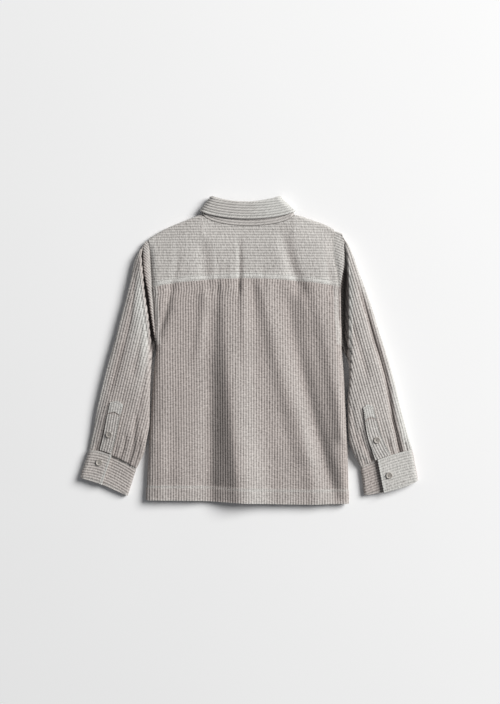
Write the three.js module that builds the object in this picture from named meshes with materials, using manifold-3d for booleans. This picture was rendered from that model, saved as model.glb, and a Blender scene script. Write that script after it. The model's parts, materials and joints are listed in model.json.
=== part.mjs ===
// A child's wide-wale corduroy overshirt, laid face down with its back showing.
// Millimetres, +Z up, +Y towards the collar, the surface it lies on at z = 0.
// Every panel is a wall of cloth over a surface. Its outer points carry the raised wales where it
// shows, and its inner face and the side that rests are plain.

import * as THREE from "three";
import Module from "manifold-3d";
import { mergeVertices } from "three/addons/utils/BufferGeometryUtils.js";

// Cloth
const GROUND = 1.6; // one layer, at the foot of a groove
const DOUBLE = 2.6; // two layers sewn together, in collar, cuffs and plackets
const WALE_PITCH = 4.8;
const WALE_RISE = 1.0;
const SEAM_GAP = 0.4; // between two pieces at a seam
const LAID_GAP = 0.5; // under a piece that lies on another
const HEM_RISE = 0.8; // the turned-up layer under the hem

// How the shirt lies
const LOFT = 17; // height of the back over the surface
const ARMHOLE_HEIGHT = 11;
const SIDE_SEAM_HEIGHT = 8;
const NECK_HEIGHT = 14;
const EDGE_ROLL = 13; // how far in from an edge the back comes up to its loft
const SHOULDER_SLOPE = 45; // how far in from the shoulder fold it does so
const FRONT_LIFT = 3.1; // buttons and collar leaves hold the fronts this high
const FRONT_LAP = 24; // overlap of the two fronts
const FRONT_YOKE = 26; // the yoke comes this far over the shoulder
const UNDERARM = 11; // level of the underarm points

const NECK = { x: -1, y: 246, half: 82, back: 22.5, front: 62 };

// The body's outline: armhole seams from the shoulder tips to the underarms, then the side seams.
const BODY = [
  { y: 217, left: -181, right: 151 },
  { y: 200, left: -178.2, right: 149 },
  { y: 172, left: -175.5, right: 149.5 },
  { y: 145, left: -173.7, right: 155.6 },
  { y: 114, left: -171.9, right: 158.6 },
  { y: 58, left: -168, right: 160.5 },
  { y: 28, left: -166.4, right: 163 },
  { y: 8, left: -165.6, right: 165 },
  { y: -53, left: -170.6, right: 170 },
  { y: -107, left: -174.4, right: 172.8 },
  { y: -161, left: -177.8, right: 175 },
  { y: -215, left: -180.9, right: 177 },
  { y: -278, left: -184, right: 177.5 },
];

// The yoke seam, the fold over the shoulders and the hem, from left to right.
const YOKE_SEAM = [
  { x: -173, y: 114 },
  { x: -142, y: 120.5 },
  { x: -88, y: 126.5 },
  { x: -7, y: 130.4 },
  { x: 56, y: 128 },
  { x: 128, y: 121 },
  { x: 160, y: 116 },
];
const SHOULDER = [
  { x: -181, y: 199 },
  { x: -160, y: 212.4 },
  { x: -142, y: 221.4 },
  { x: -106, y: 235.8 },
  { x: -83, y: 243.5 },
  { x: -2, y: 252 },
  { x: 81, y: 243.5 },
  { x: 119, y: 231.7 },
  { x: 137, y: 225 },
  { x: 154, y: 215.5 },
];
const HEM = [
  { x: -184, y: -268.5 },
  { x: -90, y: -269.5 },
  { x: 0, y: -273.5 },
  { x: 100, y: -276 },
  { x: 178, y: -275 },
];

// Soft folds of the back: a line through three points, its rise at both ends and the widths over which
// it falls away on either side. A negative rise is a trough.
const FOLDS = [
  {
    xTop: -42, yTop: 108, xMid: -38, yMid: -40, xLow: -24, yLow: -270,
    riseTop: 3.4, riseLow: 6, leftTop: 8, leftLow: 19, right: 34,
  },
  {
    xTop: 50, yTop: 122, xMid: 76, yMid: -8, xLow: 148, yLow: -244,
    riseTop: 2.6, riseLow: 4, leftTop: 22, leftLow: 34, right: 22,
  },
  {
    xTop: 118, yTop: 118, xMid: 142, yMid: 0, xLow: 176, yLow: -200,
    riseTop: 2.4, riseLow: 4, leftTop: 14, leftLow: 15, right: 24,
  },
  {
    xTop: -83, yTop: 184, xMid: -79, yMid: 118, xLow: -99, yLow: -8,
    riseTop: -1.2, riseLow: -2, leftTop: 8, leftLow: 9, right: 8,
  },
  {
    xTop: -18, yTop: 186, xMid: -17, yMid: 126, xLow: -11, yLow: -3,
    riseTop: -1.6, riseLow: -1, leftTop: 6, leftLow: 6, right: 7,
  },
  {
    xTop: 61, yTop: 217, xMid: 70, yMid: 172, xLow: 87, yLow: 118,
    riseTop: -1.4, riseLow: -2.4, leftTop: 10, leftLow: 12, right: 12,
  },
  {
    xTop: -140, yTop: 109, xMid: -147, yMid: 76, xLow: -161, yLow: 32,
    riseTop: -1.6, riseLow: -2.4, leftTop: 6, leftLow: 7, right: 7,
  },
  {
    xTop: 10, yTop: 20, xMid: 13, yMid: -120, xLow: 12, yLow: -270,
    riseTop: 1, riseLow: 2.2, leftTop: 12, leftLow: 14, right: 16,
  },
];
const FOLD_END = 26; // over which a fold dies away past its ends

// Each sleeve is a flattened tube. A row for each ring, from the armhole seam over the strip beside it,
// through the crevice and up to the lip, then down to the cuff seam: the outer and inner ends seen from
// above, how far the ring bows down the sleeve, its height in the middle and near its ends, and how
// closely it follows the armhole seam.
const SLEEVES = {
  left: [
    { xOut: -179.6, yOut: 197.6, xIn: -166.1, yIn: 11, bow: 0, height: 11, ends: 11, hug: 1 },
    { xOut: -183, yOut: 195.5, xIn: -168, yIn: 8, bow: 5, height: 14, ends: 12, hug: 0.7 },
    { xOut: -187.5, yOut: 189.5, xIn: -170.5, yIn: 3, bow: 8, height: 7.5, ends: 12.5, hug: 0.4 },
    { xOut: -192, yOut: 183.5, xIn: -173.3, yIn: -4, bow: 7.5, height: 16, ends: 14, hug: 0.2 },
    { xOut: -197.5, yOut: 175, xIn: -175, yIn: -14, bow: 5, height: 19, ends: 17, hug: 0 },
    { xOut: -204, yOut: 161, xIn: -176, yIn: -28, bow: 3, height: 21, ends: 20, hug: 0 },
    { xOut: -210, yOut: 136, xIn: -177, yIn: -46, bow: 2, height: 22, ends: 22, hug: 0 },
    { xOut: -219.6, yOut: 91, xIn: -178, yIn: -68, bow: 0, height: 23, ends: 23, hug: 0 },
    { xOut: -232, yOut: 48, xIn: -178.5, yIn: -92, bow: 0, height: 23, ends: 23, hug: 0 },
    { xOut: -246, yOut: -4, xIn: -179, yIn: -114, bow: 0, height: 23, ends: 23, hug: 0 },
    { xOut: -259.2, yOut: -53, xIn: -180, yIn: -137, bow: 0, height: 22, ends: 22, hug: 0 },
    { xOut: -270, yOut: -99, xIn: -184.5, yIn: -160, bow: 0, height: 21, ends: 20, hug: 0 },
    { xOut: -279, yOut: -143, xIn: -190, yIn: -185, bow: -3, height: 18, ends: 17, hug: 0 },
    { xOut: -286.6, yOut: -178.2, xIn: -202, yIn: -210, bow: -7, height: 14, ends: 13, hug: 0 },
  ],
  right: [
    { xOut: 152, yOut: 215, xIn: 165.3, yIn: 11, bow: 0, height: 11, ends: 11, hug: 1 },
    { xOut: 157, yOut: 212, xIn: 167.5, yIn: 7, bow: 4, height: 14, ends: 12, hug: 0.7 },
    { xOut: 164, yOut: 206, xIn: 171, yIn: 0, bow: 6.5, height: 6.5, ends: 12.5, hug: 0.4 },
    { xOut: 171, yOut: 198.5, xIn: 176, yIn: -11, bow: 6, height: 16, ends: 14, hug: 0.2 },
    { xOut: 178.2, yOut: 188, xIn: 179.5, yIn: -26, bow: 3, height: 19, ends: 17, hug: 0 },
    { xOut: 187, yOut: 168, xIn: 181, yIn: -44, bow: 2, height: 21, ends: 20, hug: 0 },
    { xOut: 198, yOut: 136, xIn: 180, yIn: -64, bow: 0, height: 22, ends: 22, hug: 0 },
    { xOut: 216, yOut: 87, xIn: 178, yIn: -86, bow: 0, height: 23, ends: 23, hug: 0 },
    { xOut: 231, yOut: 37, xIn: 178, yIn: -106, bow: 0, height: 23, ends: 23, hug: 0 },
    { xOut: 246, yOut: -8, xIn: 178.5, yIn: -128, bow: 0, height: 23, ends: 23, hug: 0 },
    { xOut: 260.5, yOut: -58, xIn: 179.5, yIn: -150, bow: 0, height: 22, ends: 22, hug: 0 },
    { xOut: 273, yOut: -112, xIn: 183, yIn: -172, bow: 0, height: 21, ends: 20, hug: 0 },
    { xOut: 284.5, yOut: -152, xIn: 191, yIn: -190, bow: -1, height: 18, ends: 17, hug: 0 },
    { xOut: 292.5, yOut: -177.3, xIn: 200.5, yIn: -207, bow: -3, height: 14, ends: 13, hug: 0 },
  ],
};
const SLEEVE_ROWS = SLEEVES.left.length - 1;
const SLEEVE_WALES = 22; // on the face of a sleeve that shows
const SLEEVE_PUFF = 4; // 2 is an ellipse, more is flatter
const CREASES = {
  left: [{ fromRow: 9.5, toRow: 13.5, from: 0.72, to: 0.84, deep: 2.4, wide: 0.06 }],
  right: [
    { fromRow: 6, toRow: 13.5, from: 0.24, to: 0.17, deep: 4, wide: 0.055 },
    { fromRow: 10, toRow: 13.5, from: 0.8, to: 0.74, deep: 2.4, wide: 0.05 },
  ],
};

// Cuffs: a band that goes once round and laps over itself. The far corners, how far the two long edges
// bow, where the upper lap ends counted from the outer edge, and how far that end lifts.
const CUFFS = {
  left: { xOut: -303, yOut: -228, xIn: -218, yIn: -260.5, bow: -2, lap: 41, lift: 0.6 },
  right: { xOut: 303, yOut: -233, xIn: 207, yIn: -259.5, bow: 5, lap: 65, lift: 2.6 },
};
const CUFF = { hollow: 4.4, underLap: 22, wales: 11 };

// Sleeve plackets: strips along the sleeve, as shares of its width at the cuff seam and at the top, with
// the ring that each top corner reaches.
const PLACKETS = {
  left: { lowFrom: 0.21, lowTo: 0.44, highFrom: 0.22, highTo: 0.457, rowFrom: 10.5, rowTo: 10.15 },
  right: { lowFrom: 0.42, lowTo: 0.695, highFrom: 0.476, highTo: 0.665, rowFrom: 9.93, rowTo: 9.47 },
};
const PLACKET = { wales: 5, peak: 0.01 };

// Collar rings: the neck seam, the line where stand and fall meet, and the free edge of the fall. Each
// sags by so much in the middle of the back and of the front; an ease of 1 is an ellipse, and with more
// the sag keeps away from the sides.
const COLLAR = {
  neck: { x: -1, half: 82, y: 246, back: 22.5, front: 62, backEase: 1, frontEase: 1 },
  roll: { x: -6, half: 61, y: 272, back: 10, front: 50, backEase: 1.8, frontEase: 2.4 },
  edge: { x: -2.5, half: 85.5, y: 250.5, back: 15, front: 98, backEase: 1.4, frontEase: 2.8 },
};
const COLLAR_LEAF_END = 0.3; // angle from the middle of the front to the leaf's end
const COLLAR_WALES = { stand: 7, fall: 8 };
const COLLAR_UNDER = 3.1; // the stand's front over the surface

const BUTTON = { radius: 5.8, thick: 2.2, dish: 0.6, rim: 1.2, hole: 0.75, spread: 1.15 };
const SLEEVE_BUTTONS = {
  left: { row: 11.9, share: 0.31, cuffAcross: 24, cuffDown: 0.36 },
  right: { row: 11.5, share: 0.55, cuffAcross: 50, cuffDown: 0.55 },
};
const FRONT_BUTTONS = { count: 6, yTop: 140, pitch: 72 };

const CLOTH_COLOUR = 0xa69f9a;
const BUTTON_COLOUR = 0xb9b4ab;

const lerp = (a, b, t) => a + (b - a) * t;
const clamp = (t) => Math.min(1, Math.max(0, t));
const smooth = (t) => clamp(t) ** 2 * (3 - 2 * clamp(t));
const vec = (x, y, z) => new THREE.Vector3(x, y, z);
const range = (n, make) => Array.from({ length: n }, (_, i) => make(i));
const evenShares = (count) => range(count + 1, (i) => i / count);
const waleRelief = (column) => (column % 2 ? WALE_RISE : 0);

// A smooth curve through a table's rows: one column's value at a place in another.
function through(table, key, column) {
  const rows = [...table].sort((a, b) => a[key] - b[key]);
  const slope = (i) => {
    const before = rows[Math.max(0, i - 1)];
    const after = rows[Math.min(rows.length - 1, i + 1)];
    return (after[column] - before[column]) / (after[key] - before[key]);
  };
  return (place) => {
    let i = 0;
    while (i < rows.length - 2 && place > rows[i + 1][key]) i++;
    const span = rows[i + 1][key] - rows[i][key];
    const t = clamp((place - rows[i][key]) / span);
    const bend = span * t * (1 - t) * (slope(i) * (1 - t) - slope(i + 1) * t);
    return lerp(rows[i][column], rows[i + 1][column], smooth(t)) + bend;
  };
}

const leftEdge = through(BODY, "y", "left");
const rightEdge = through(BODY, "y", "right");
const yokeSeam = through(YOKE_SEAM, "x", "y");
const shoulder = through(SHOULDER, "x", "y");
const hem = through(HEM, "x", "y");

// Where a fold's line is at level y: the parabola through its three points.
function foldLine(f, y) {
  const top = ((y - f.yMid) * (y - f.yLow)) / ((f.yTop - f.yMid) * (f.yTop - f.yLow));
  const mid = ((y - f.yTop) * (y - f.yLow)) / ((f.yMid - f.yTop) * (f.yMid - f.yLow));
  const low = ((y - f.yTop) * (y - f.yMid)) / ((f.yLow - f.yTop) * (f.yLow - f.yMid));
  return f.xTop * top + f.xMid * mid + f.xLow * low;
}

function foldsAt(x, y) {
  return FOLDS.reduce((sum, f) => {
    const level = Math.min(f.yTop, Math.max(f.yLow, y));
    const down = (f.yTop - level) / (f.yTop - f.yLow);
    const off = x - foldLine(f, level);
    const width = off < 0 ? lerp(f.leftTop, f.leftLow, down) : f.right;
    const fade = 1 - smooth(Math.abs(y - level) / FOLD_END);
    return sum + lerp(f.riseTop, f.riseLow, down) * Math.exp(-((off / width) ** 2)) * fade;
  }, 0);
}

// The upper end of the back at x: the shoulder fold, or the neck seam between the neck points.
function upperEdge(x) {
  const share = (x - NECK.x) / NECK.half;
  return Math.abs(share) < 1 ? NECK.y - NECK.back * Math.sqrt(1 - share * share) : shoulder(x);
}

const foldHeight = (x) =>
  lerp(NECK_HEIGHT, ARMHOLE_HEIGHT, smooth((Math.abs(x - NECK.x) - NECK.half) / 70));

// Height of the back's outer face away from its side edges
function loftAt(x, y) {
  const inland = smooth((upperEdge(x) - y) / SHOULDER_SLOPE);
  const open = lerp(0.86, 1, smooth((y - hem(x)) / 60));
  return lerp(foldHeight(x), LOFT + foldsAt(x, y), inland) * open;
}

const overEdge = (d) => Math.sqrt(1 - (1 - clamp(d / EDGE_ROLL)) ** 2);

// Height of the back's outer face. Its edge is low at the side seam and higher at the armhole.
function backHeight(x, y) {
  const edge = lerp(SIDE_SEAM_HEIGHT, ARMHOLE_HEIGHT, smooth((y - UNDERARM + 10) / 10));
  const fromEdge = Math.max(0, Math.min(x - leftEdge(y), rightEdge(y) - x));
  return lerp(edge, loftAt(x, y), overEdge(fromEdge));
}

// Distances across a span from one edge to the other, close together where the edges turn down.
function stepsAcross(width, step) {
  const turn = range(8, (i) => EDGE_ROLL * (1 - Math.cos((i * Math.PI) / 16)));
  const count = Math.round((width - 2 * EDGE_ROLL) / step);
  const middle = range(count + 1, (i) => lerp(EDGE_ROLL, width - EDGE_ROLL, i / count));
  return [...turn, ...middle, ...turn.map((d) => width - d).reverse()];
}

// A line's point at a share of its length
function alongLine(line) {
  const far = [0];
  for (let i = 1; i < line.length; i++) far.push(far[i - 1] + line[i].distanceTo(line[i - 1]));
  return (share) => {
    const want = share * far[far.length - 1];
    let i = 1;
    while (i < line.length - 1 && far[i] < want) i++;
    return line[i - 1].clone().lerp(line[i], (want - far[i - 1]) / (far[i] - far[i - 1]));
  };
}

// A surface from a family of lines: v picks the line, u the share of its length.
function surfaceOf(lineAt) {
  const kept = new Map();
  return (v, u) => {
    if (!kept.has(v)) kept.set(v, alongLine(lineAt(v)));
    return kept.get(v)(u);
  };
}

// Points of a surface with their outward normals
function faceGrid(surface, rows, shares, closed, turn) {
  const small = 0.003;
  const wrap = (u) => (closed ? (u + 1) % 1 : clamp(u));
  return rows.map((v) =>
    shares.map((u) => {
      const across = surface(v, wrap(u + small)).sub(surface(v, wrap(u - small)));
      const down = surface(clamp(v + small), u).sub(surface(clamp(v - small), u));
      return { place: surface(v, u), normal: across.cross(down).normalize().multiplyScalar(turn) };
    }),
  );
}

// Joins two lines of points with triangles, stepping along whichever lags.
function zip(a, b, sharesA, sharesB, closed, put) {
  const [endA, endB] = closed ? [a.length, b.length] : [a.length - 1, b.length - 1];
  const shareOf = (shares, i) => (i < shares.length ? shares[i] : 1);
  let [i, j] = [0, 0];
  while (i < endA || j < endB) {
    if (j >= endB || (i < endA && shareOf(sharesA, i + 1) <= shareOf(sharesB, j + 1))) {
      put(a[i], a[(i + 1) % a.length], b[j % b.length]);
      i++;
    } else {
      put(a[i % a.length], b[(j + 1) % b.length], b[j]);
      j++;
    }
  }
}

// A closed body from an outer and an inner grid of points with the same rows
function bodyOf(outer, inner, outerShares, innerShares, closed) {
  const points = [];
  const faces = [];
  const number = (grid) => grid.map((row) => row.map((p) => points.push(p) - 1));
  const [out, inn] = [number(outer), number(inner)];
  const quads = (grid, flip) => {
    for (let r = 0; r + 1 < grid.length; r++) {
      const count = grid[r].length;
      for (let c = 0; c < (closed ? count : count - 1); c++) {
        const next = (c + 1) % count;
        const corners = [grid[r][c], grid[r][next], grid[r + 1][next], grid[r + 1][c]];
        if (flip) corners.reverse();
        faces.push([corners[0], corners[1], corners[2]], [corners[0], corners[2], corners[3]]);
      }
    }
  };
  quads(out, false);
  quads(inn, true);
  const last = out.length - 1;
  const onward = (a, b, c) => faces.push([a, b, c]);
  const backward = (a, b, c) => faces.push([b, a, c]);
  zip(out[0], inn[0], outerShares, innerShares, closed, backward);
  zip(out[last], inn[last], outerShares, innerShares, closed, onward);
  if (!closed) {
    const rows = evenShares(last);
    zip(out.map((row) => row[0]), inn.map((row) => row[0]), rows, rows, false, onward);
    zip(out.map((row) => row.at(-1)), inn.map((row) => row.at(-1)), rows, rows, false, backward);
  }
  const volume = faces.reduce((sum, face) => {
    const [a, b, c] = face.map((i) => points[i]);
    return sum + a.dot(b.clone().cross(c));
  }, 0);
  const facing = volume < 0 ? faces.map(([a, b, c]) => [a, c, b]) : faces;
  const geometry = new THREE.BufferGeometry().setFromPoints(points);
  return geometry.setIndex(facing.flat());
}

// A wall of cloth over a surface. Fine shares carry the relief outside, plain shares the inner face.
function wall(surface, { rows, fine, plain, relief, thick = GROUND, closed = false, turn = 1 }) {
  const outer = faceGrid(surface, rows, fine, closed, turn).map((row, r) =>
    row.map(({ place, normal }, c) => {
      const rise = relief ? relief(c, rows[r], place) * smooth(1.6 * normal.z) : 0;
      return place.addScaledVector(normal, rise);
    }),
  );
  const inner = faceGrid(surface, rows, plain, closed, turn).map((row) =>
    row.map(({ place, normal }) => place.addScaledVector(normal, -thick)),
  );
  return bodyOf(outer, inner, fine, plain, closed);
}

const wasm = await Module();
wasm.setup();

function manifoldOf(geometry) {
  const merged = mergeVertices(geometry, 1e-4);
  return new wasm.Manifold(
    new wasm.Mesh({
      numProp: 3,
      vertProperties: new Float32Array(merged.attributes.position.array),
      triVerts: new Uint32Array(merged.index.array),
    }),
  );
}

function fromManifold(solid) {
  const mesh = solid.getMesh();
  const geometry = new THREE.BufferGeometry();
  geometry.setAttribute("position", new THREE.BufferAttribute(mesh.vertProperties, 3));
  return geometry.setIndex(new THREE.BufferAttribute(mesh.triVerts, 1));
}

// Upright prisms that trim a panel along a seam
const prism = (outline, low, high) =>
  wasm.Manifold.extrude([outline], high - low).translate([0, 0, low]);

function neckPrism(drop, low, high) {
  const half = NECK.half + 4 * SEAM_GAP;
  const curve = range(29, (i) => {
    const angle = Math.PI + (i * Math.PI) / 28;
    return [NECK.x + half * Math.cos(angle), NECK.y + (drop + SEAM_GAP) * Math.sin(angle)];
  });
  return prism([...curve, [NECK.x + half, 330], [NECK.x - half, 330]], low, high);
}

const acrossBody = range(37, (i) => lerp(-198, 198, i / 36));

function prismBelow(edge, low, high) {
  const curve = acrossBody.map((x) => [x, edge(x)]).reverse();
  return prism([[-198, -60], [198, -60], ...curve], low, high);
}

function prismAbove(edge, low, high) {
  return prism([...acrossBody.map((x) => [x, edge(x)]), [198, 330], [-198, 330]], low, high);
}

// The fronts are lifted over the buttons in the middle and over the collar leaves.
function frontLift(x, y) {
  const off = Math.abs(x - NECK.x);
  const collar = (1 - smooth((off - 98) / 20)) * smooth((y - 136) / 18);
  return FRONT_LIFT * Math.max(1 - smooth((off - 26) / 20), collar);
}

// Back panel, from the yoke seam to the hem
function backPanel() {
  const surface = surfaceOf((v) => {
    const left = leftEdge(lerp(yokeSeam(-172), hem(-184), v));
    const right = rightEdge(lerp(yokeSeam(159), hem(178), v));
    return stepsAcross(right - left, 2.5).map((d) => {
      const x = left + d;
      const y = lerp(yokeSeam(x) - SEAM_GAP, hem(x), v);
      return vec(x, y, backHeight(x, y));
    });
  });
  const near = [0, 0.007, 0.015, 0.025, 0.038, 0.055];
  const middle = range(25, (i) => lerp(0.085, 0.915, i / 24));
  return wall(surface, {
    rows: [0, 0.11, 0.25, 0.4, 0.56, 0.73, 0.9295, 0.932, 1],
    fine: evenShares(2 * 74),
    plain: [...near, ...middle, ...near.map((u) => 1 - u).reverse()],
    relief: (column, v) => waleRelief(column) + (v > 0.93 ? HEM_RISE : 0),
    turn: -1,
  });
}

// Yoke, from its seam on the back over the shoulder fold to its seam on the fronts. It is built with
// level wales from below the seam, then trimmed along its seams and the neck.
function yoke() {
  const start = 108;
  const length = 182;
  const surface = surfaceOf((v) => {
    const across = (y) => lerp(leftEdge(y), rightEdge(y), v);
    let foldY = 240;
    for (let i = 0; i < 8; i++) foldY = shoulder(across(foldY));
    const under = frontLift(across(foldY), foldY - FRONT_YOKE);
    const top = foldHeight(across(foldY));
    const radius = (top - under) / 2;
    const turnY = foldY - radius;
    const line = range(46, (i) => {
      const y = lerp(start, turnY, i / 45);
      return vec(across(y), y, backHeight(across(y), y));
    });
    const crest = line.at(-1).z;
    for (let i = 1; i <= 9; i++) {
      const angle = (i * Math.PI) / 9;
      const y = turnY + radius * Math.sin(angle);
      line.push(vec(across(foldY), y, lerp(under, crest, 0.5 + 0.5 * Math.cos(angle))));
    }
    let far = 0;
    for (let i = 1; i < line.length; i++) far += line[i].distanceTo(line[i - 1]);
    const steps = range(12, (i) => ((length - far) * (i + 1)) / 12);
    for (const step of steps) line.push(vec(across(foldY - step), turnY - step, under));
    return line;
  });
  const whole = wall(surface, {
    rows: [0, 0.012, 0.04, 0.1, 0.2, 0.34, 0.5, 0.66, 0.8, 0.9, 0.965, 0.99, 1],
    fine: evenShares(2 * Math.round(length / WALE_PITCH)),
    plain: evenShares(30),
    relief: waleRelief,
    turn: -1,
  });
  const between = (NECK_HEIGHT + COLLAR_UNDER) / 2;
  const trims = [
    neckPrism(NECK.back, between, 60),
    neckPrism(NECK.front, -10, between),
    prismBelow(yokeSeam, between, 60),
    prismBelow((x) => shoulder(x) - FRONT_YOKE, -10, between),
  ];
  return fromManifold(trims.reduce((solid, trim) => solid.subtract(trim), manifoldOf(whole)));
}

// A front, from its side seam and armhole to its edge past the middle
function front(side) {
  const sign = side === "left" ? -1 : 1;
  const edgeOf = side === "left" ? leftEdge : rightEdge;
  const inner = NECK.x - (sign * FRONT_LAP) / 2;
  const over = side === "right" ? GROUND + SEAM_GAP : 0;
  const surface = surfaceOf((v) => {
    const level = lerp(-272, 232, v);
    const outer = edgeOf(level) - 1.25 * sign * SEAM_GAP;
    const seam = SIDE_SEAM_HEIGHT - 2 * SEAM_GAP;
    const curl = seam * (1 - smooth((level - UNDERARM + 14) / 12));
    return stepsAcross(Math.abs(inner - outer), 6)
      .filter((d) => d < Math.abs(inner - outer) - 2 * SEAM_GAP || d === Math.abs(inner - outer))
      .map((d) => {
        const x = outer - sign * d;
        const y = level + (hem(x) + 273.5) * (1 - v);
        const lapped = over * (1 - smooth((Math.abs(x - NECK.x) - 30) / 22));
        return vec(x, y, curl * (1 - overEdge(d)) + frontLift(x, y) + lapped);
      });
  });
  const shares = [0, 0.01, 0.025, 0.05, 0.08, 0.25, 0.45, 0.6, 0.7, 0.78, 0.84, 0.9, 1];
  const whole = wall(surface, {
    rows: [0, 0.25, 0.5, 0.534, 0.56, 0.64, 0.72, 0.8, 0.83, 0.86, 0.92, 1],
    fine: shares,
    plain: shares,
    turn: sign,
  });
  const trimmed = manifoldOf(whole)
    .subtract(prismAbove((x) => shoulder(x) - FRONT_YOKE - SEAM_GAP, -10, 30))
    .subtract(neckPrism(NECK.front, -10, 30));
  return fromManifold(trimmed);
}

// A sleeve's ring at a row that may fall between two: its columns by name
function sleeveRings(side) {
  const table = SLEEVES[side].map((row, at) => ({ ...row, at }));
  const names = Object.keys(SLEEVES[side][0]);
  const curves = names.map((name) => through(table, "at", name));
  return (row) => Object.fromEntries(names.map((name, i) => [name, curves[i](row)]));
}

// A point on a sleeve: on its upper or lower face, at a share of the width from the outer edge
function sleevePoints(side) {
  const ringAt = sleeveRings(side);
  const sign = side === "left" ? -1 : 1;
  const edgeOf = side === "left" ? leftEdge : rightEdge;
  return (row, share, upper) => {
    const ring = ringAt(row);
    const along = vec(ring.xIn - ring.xOut, ring.yIn - ring.yOut, 0);
    const skewed = share ** 0.8;
    const out = vec(-sign * along.y, sign * along.x, 0).normalize();
    const place = vec(ring.xOut, ring.yOut, 0).addScaledVector(along, share);
    place.addScaledVector(out, 4 * ring.bow * skewed * (1 - skewed));
    const seamX = edgeOf(place.y) + 2 * sign * SEAM_GAP;
    place.x += ring.hug * (seamX - lerp(ring.xOut, ring.xIn, share));
    const near = smooth(Math.min(share, 1 - share) / 0.16);
    const half = lerp(ring.ends, ring.height, near) / 2;
    const puff = (1 - Math.abs(2 * share - 1) ** SLEEVE_PUFF) ** (1 / SLEEVE_PUFF);
    const creased = CREASES[side].reduce((sum, crease) => {
      const down = (row - crease.fromRow) / (crease.toRow - crease.fromRow);
      const off = (share - lerp(crease.from, crease.to, down)) / crease.wide;
      return sum + crease.deep * Math.exp(-off * off) * smooth(4 * down);
    }, 0);
    place.z = upper ? half + half * puff - creased * puff : half - half * puff;
    return place;
  };
}

function sleeve(side) {
  const pointAt = sleevePoints(side);
  const count = 48;
  const shareAt = (i) => (1 - Math.cos((i * Math.PI) / count)) / 2;
  const surface = surfaceOf((v) => {
    const row = v * SLEEVE_ROWS;
    const upper = range(count, (i) => pointAt(row, shareAt(i), true));
    const lower = range(count + 1, (i) => pointAt(row, shareAt(count - i), false));
    return [...upper, ...lower];
  });
  const rows = [0, 0.5, 1, 1.5, 2, 2.5, 3, 4, 5.5, 7.5, 9.5, 11, 12.2, 13];
  const fade = (v) => smooth(v * SLEEVE_ROWS) * smooth((1 - v) * SLEEVE_ROWS * 2);
  const upper = range(2 * SLEEVE_WALES, (i) => (0.5 * i) / (2 * SLEEVE_WALES));
  const lower = [0, 0.02, 0.08, 0.2, 0.34, 0.44, 0.48].map((u) => 0.5 + u);
  return wall(surface, {
    rows: rows.map((row) => row / SLEEVE_ROWS),
    fine: [...upper, ...lower],
    plain: [0, 0.015, 0.05, 0.12, 0.2, 0.29, 0.38, 0.45, 0.485, ...lower],
    relief: (column, v) => (column < upper.length ? waleRelief(column) * fade(v) : 0),
    closed: true,
    turn: side === "left" ? -1 : 1,
  });
}

// A cuff: the point at a distance across from the outer edge, with v down its depth
function cuffPlaces(side) {
  const shape = CUFFS[side];
  const seam = SLEEVES[side].at(-1);
  const sign = side === "left" ? -1 : 1;
  const down = vec(shape.xOut - seam.xOut, shape.yOut - seam.yOut, 0).normalize();
  const begin = vec(seam.xOut, seam.yOut, 0).addScaledVector(down, 2 * SEAM_GAP);
  const beginIn = vec(seam.xIn, seam.yIn, 0).addScaledVector(down, 2 * SEAM_GAP);
  const end = vec(shape.xOut, shape.yOut, 0);
  const endIn = vec(shape.xIn, shape.yIn, 0);
  return (across, v) => {
    const outer = begin.clone().lerp(end, v);
    const along = beginIn.clone().lerp(endIn, v).sub(outer);
    const share = across / along.length();
    const out = vec(-sign * along.y, sign * along.x, 0).normalize();
    const skewed = clamp(share) ** 0.8;
    const bow = lerp(seam.bow, shape.bow, v) * 4 * skewed * (1 - skewed);
    const place = outer.addScaledVector(along, share).addScaledVector(out, bow);
    return { place, width: along.length() };
  };
}

const CUFF_LOWER = 2 * DOUBLE + CUFF.hollow;
const CUFF_UPPER = CUFF_LOWER + WALE_RISE + LAID_GAP + DOUBLE;

// The band's line at a share of the depth, from the free end of the upper lap round to the under lap
function cuffLine(side, v) {
  const placeAt = cuffPlaces(side);
  const shape = CUFFS[side];
  const { width } = placeAt(0, v);
  const outerTurn = CUFF_UPPER / 2;
  const innerTurn = CUFF_LOWER / 2;
  const put = (across, z) => placeAt(across, v).place.setZ(z);
  const lifted = (across) => CUFF_UPPER + shape.lift * smooth(across / shape.lap);
  const upper = range(13, (i) => lerp(shape.lap, outerTurn, i / 12));
  const turn = range(10, (i) => ((i + 1) * Math.PI) / 11);
  const floor = range(17, (i) => lerp(outerTurn, width - innerTurn, i / 16));
  const under = range(13, (i) => lerp(width - innerTurn, shape.lap - CUFF.underLap, i / 12));
  return [
    ...upper.map((across) => put(across, lifted(across))),
    ...turn.map((a) => put(outerTurn * (1 - Math.sin(a)), outerTurn * (1 + Math.cos(a)))),
    ...floor.map((across) => put(across, 0)),
    ...turn.map((a) => put(width - innerTurn * (1 - Math.sin(a)), innerTurn * (1 - Math.cos(a)))),
    ...under.map((across) => put(across, CUFF_LOWER)),
  ];
}

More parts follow.
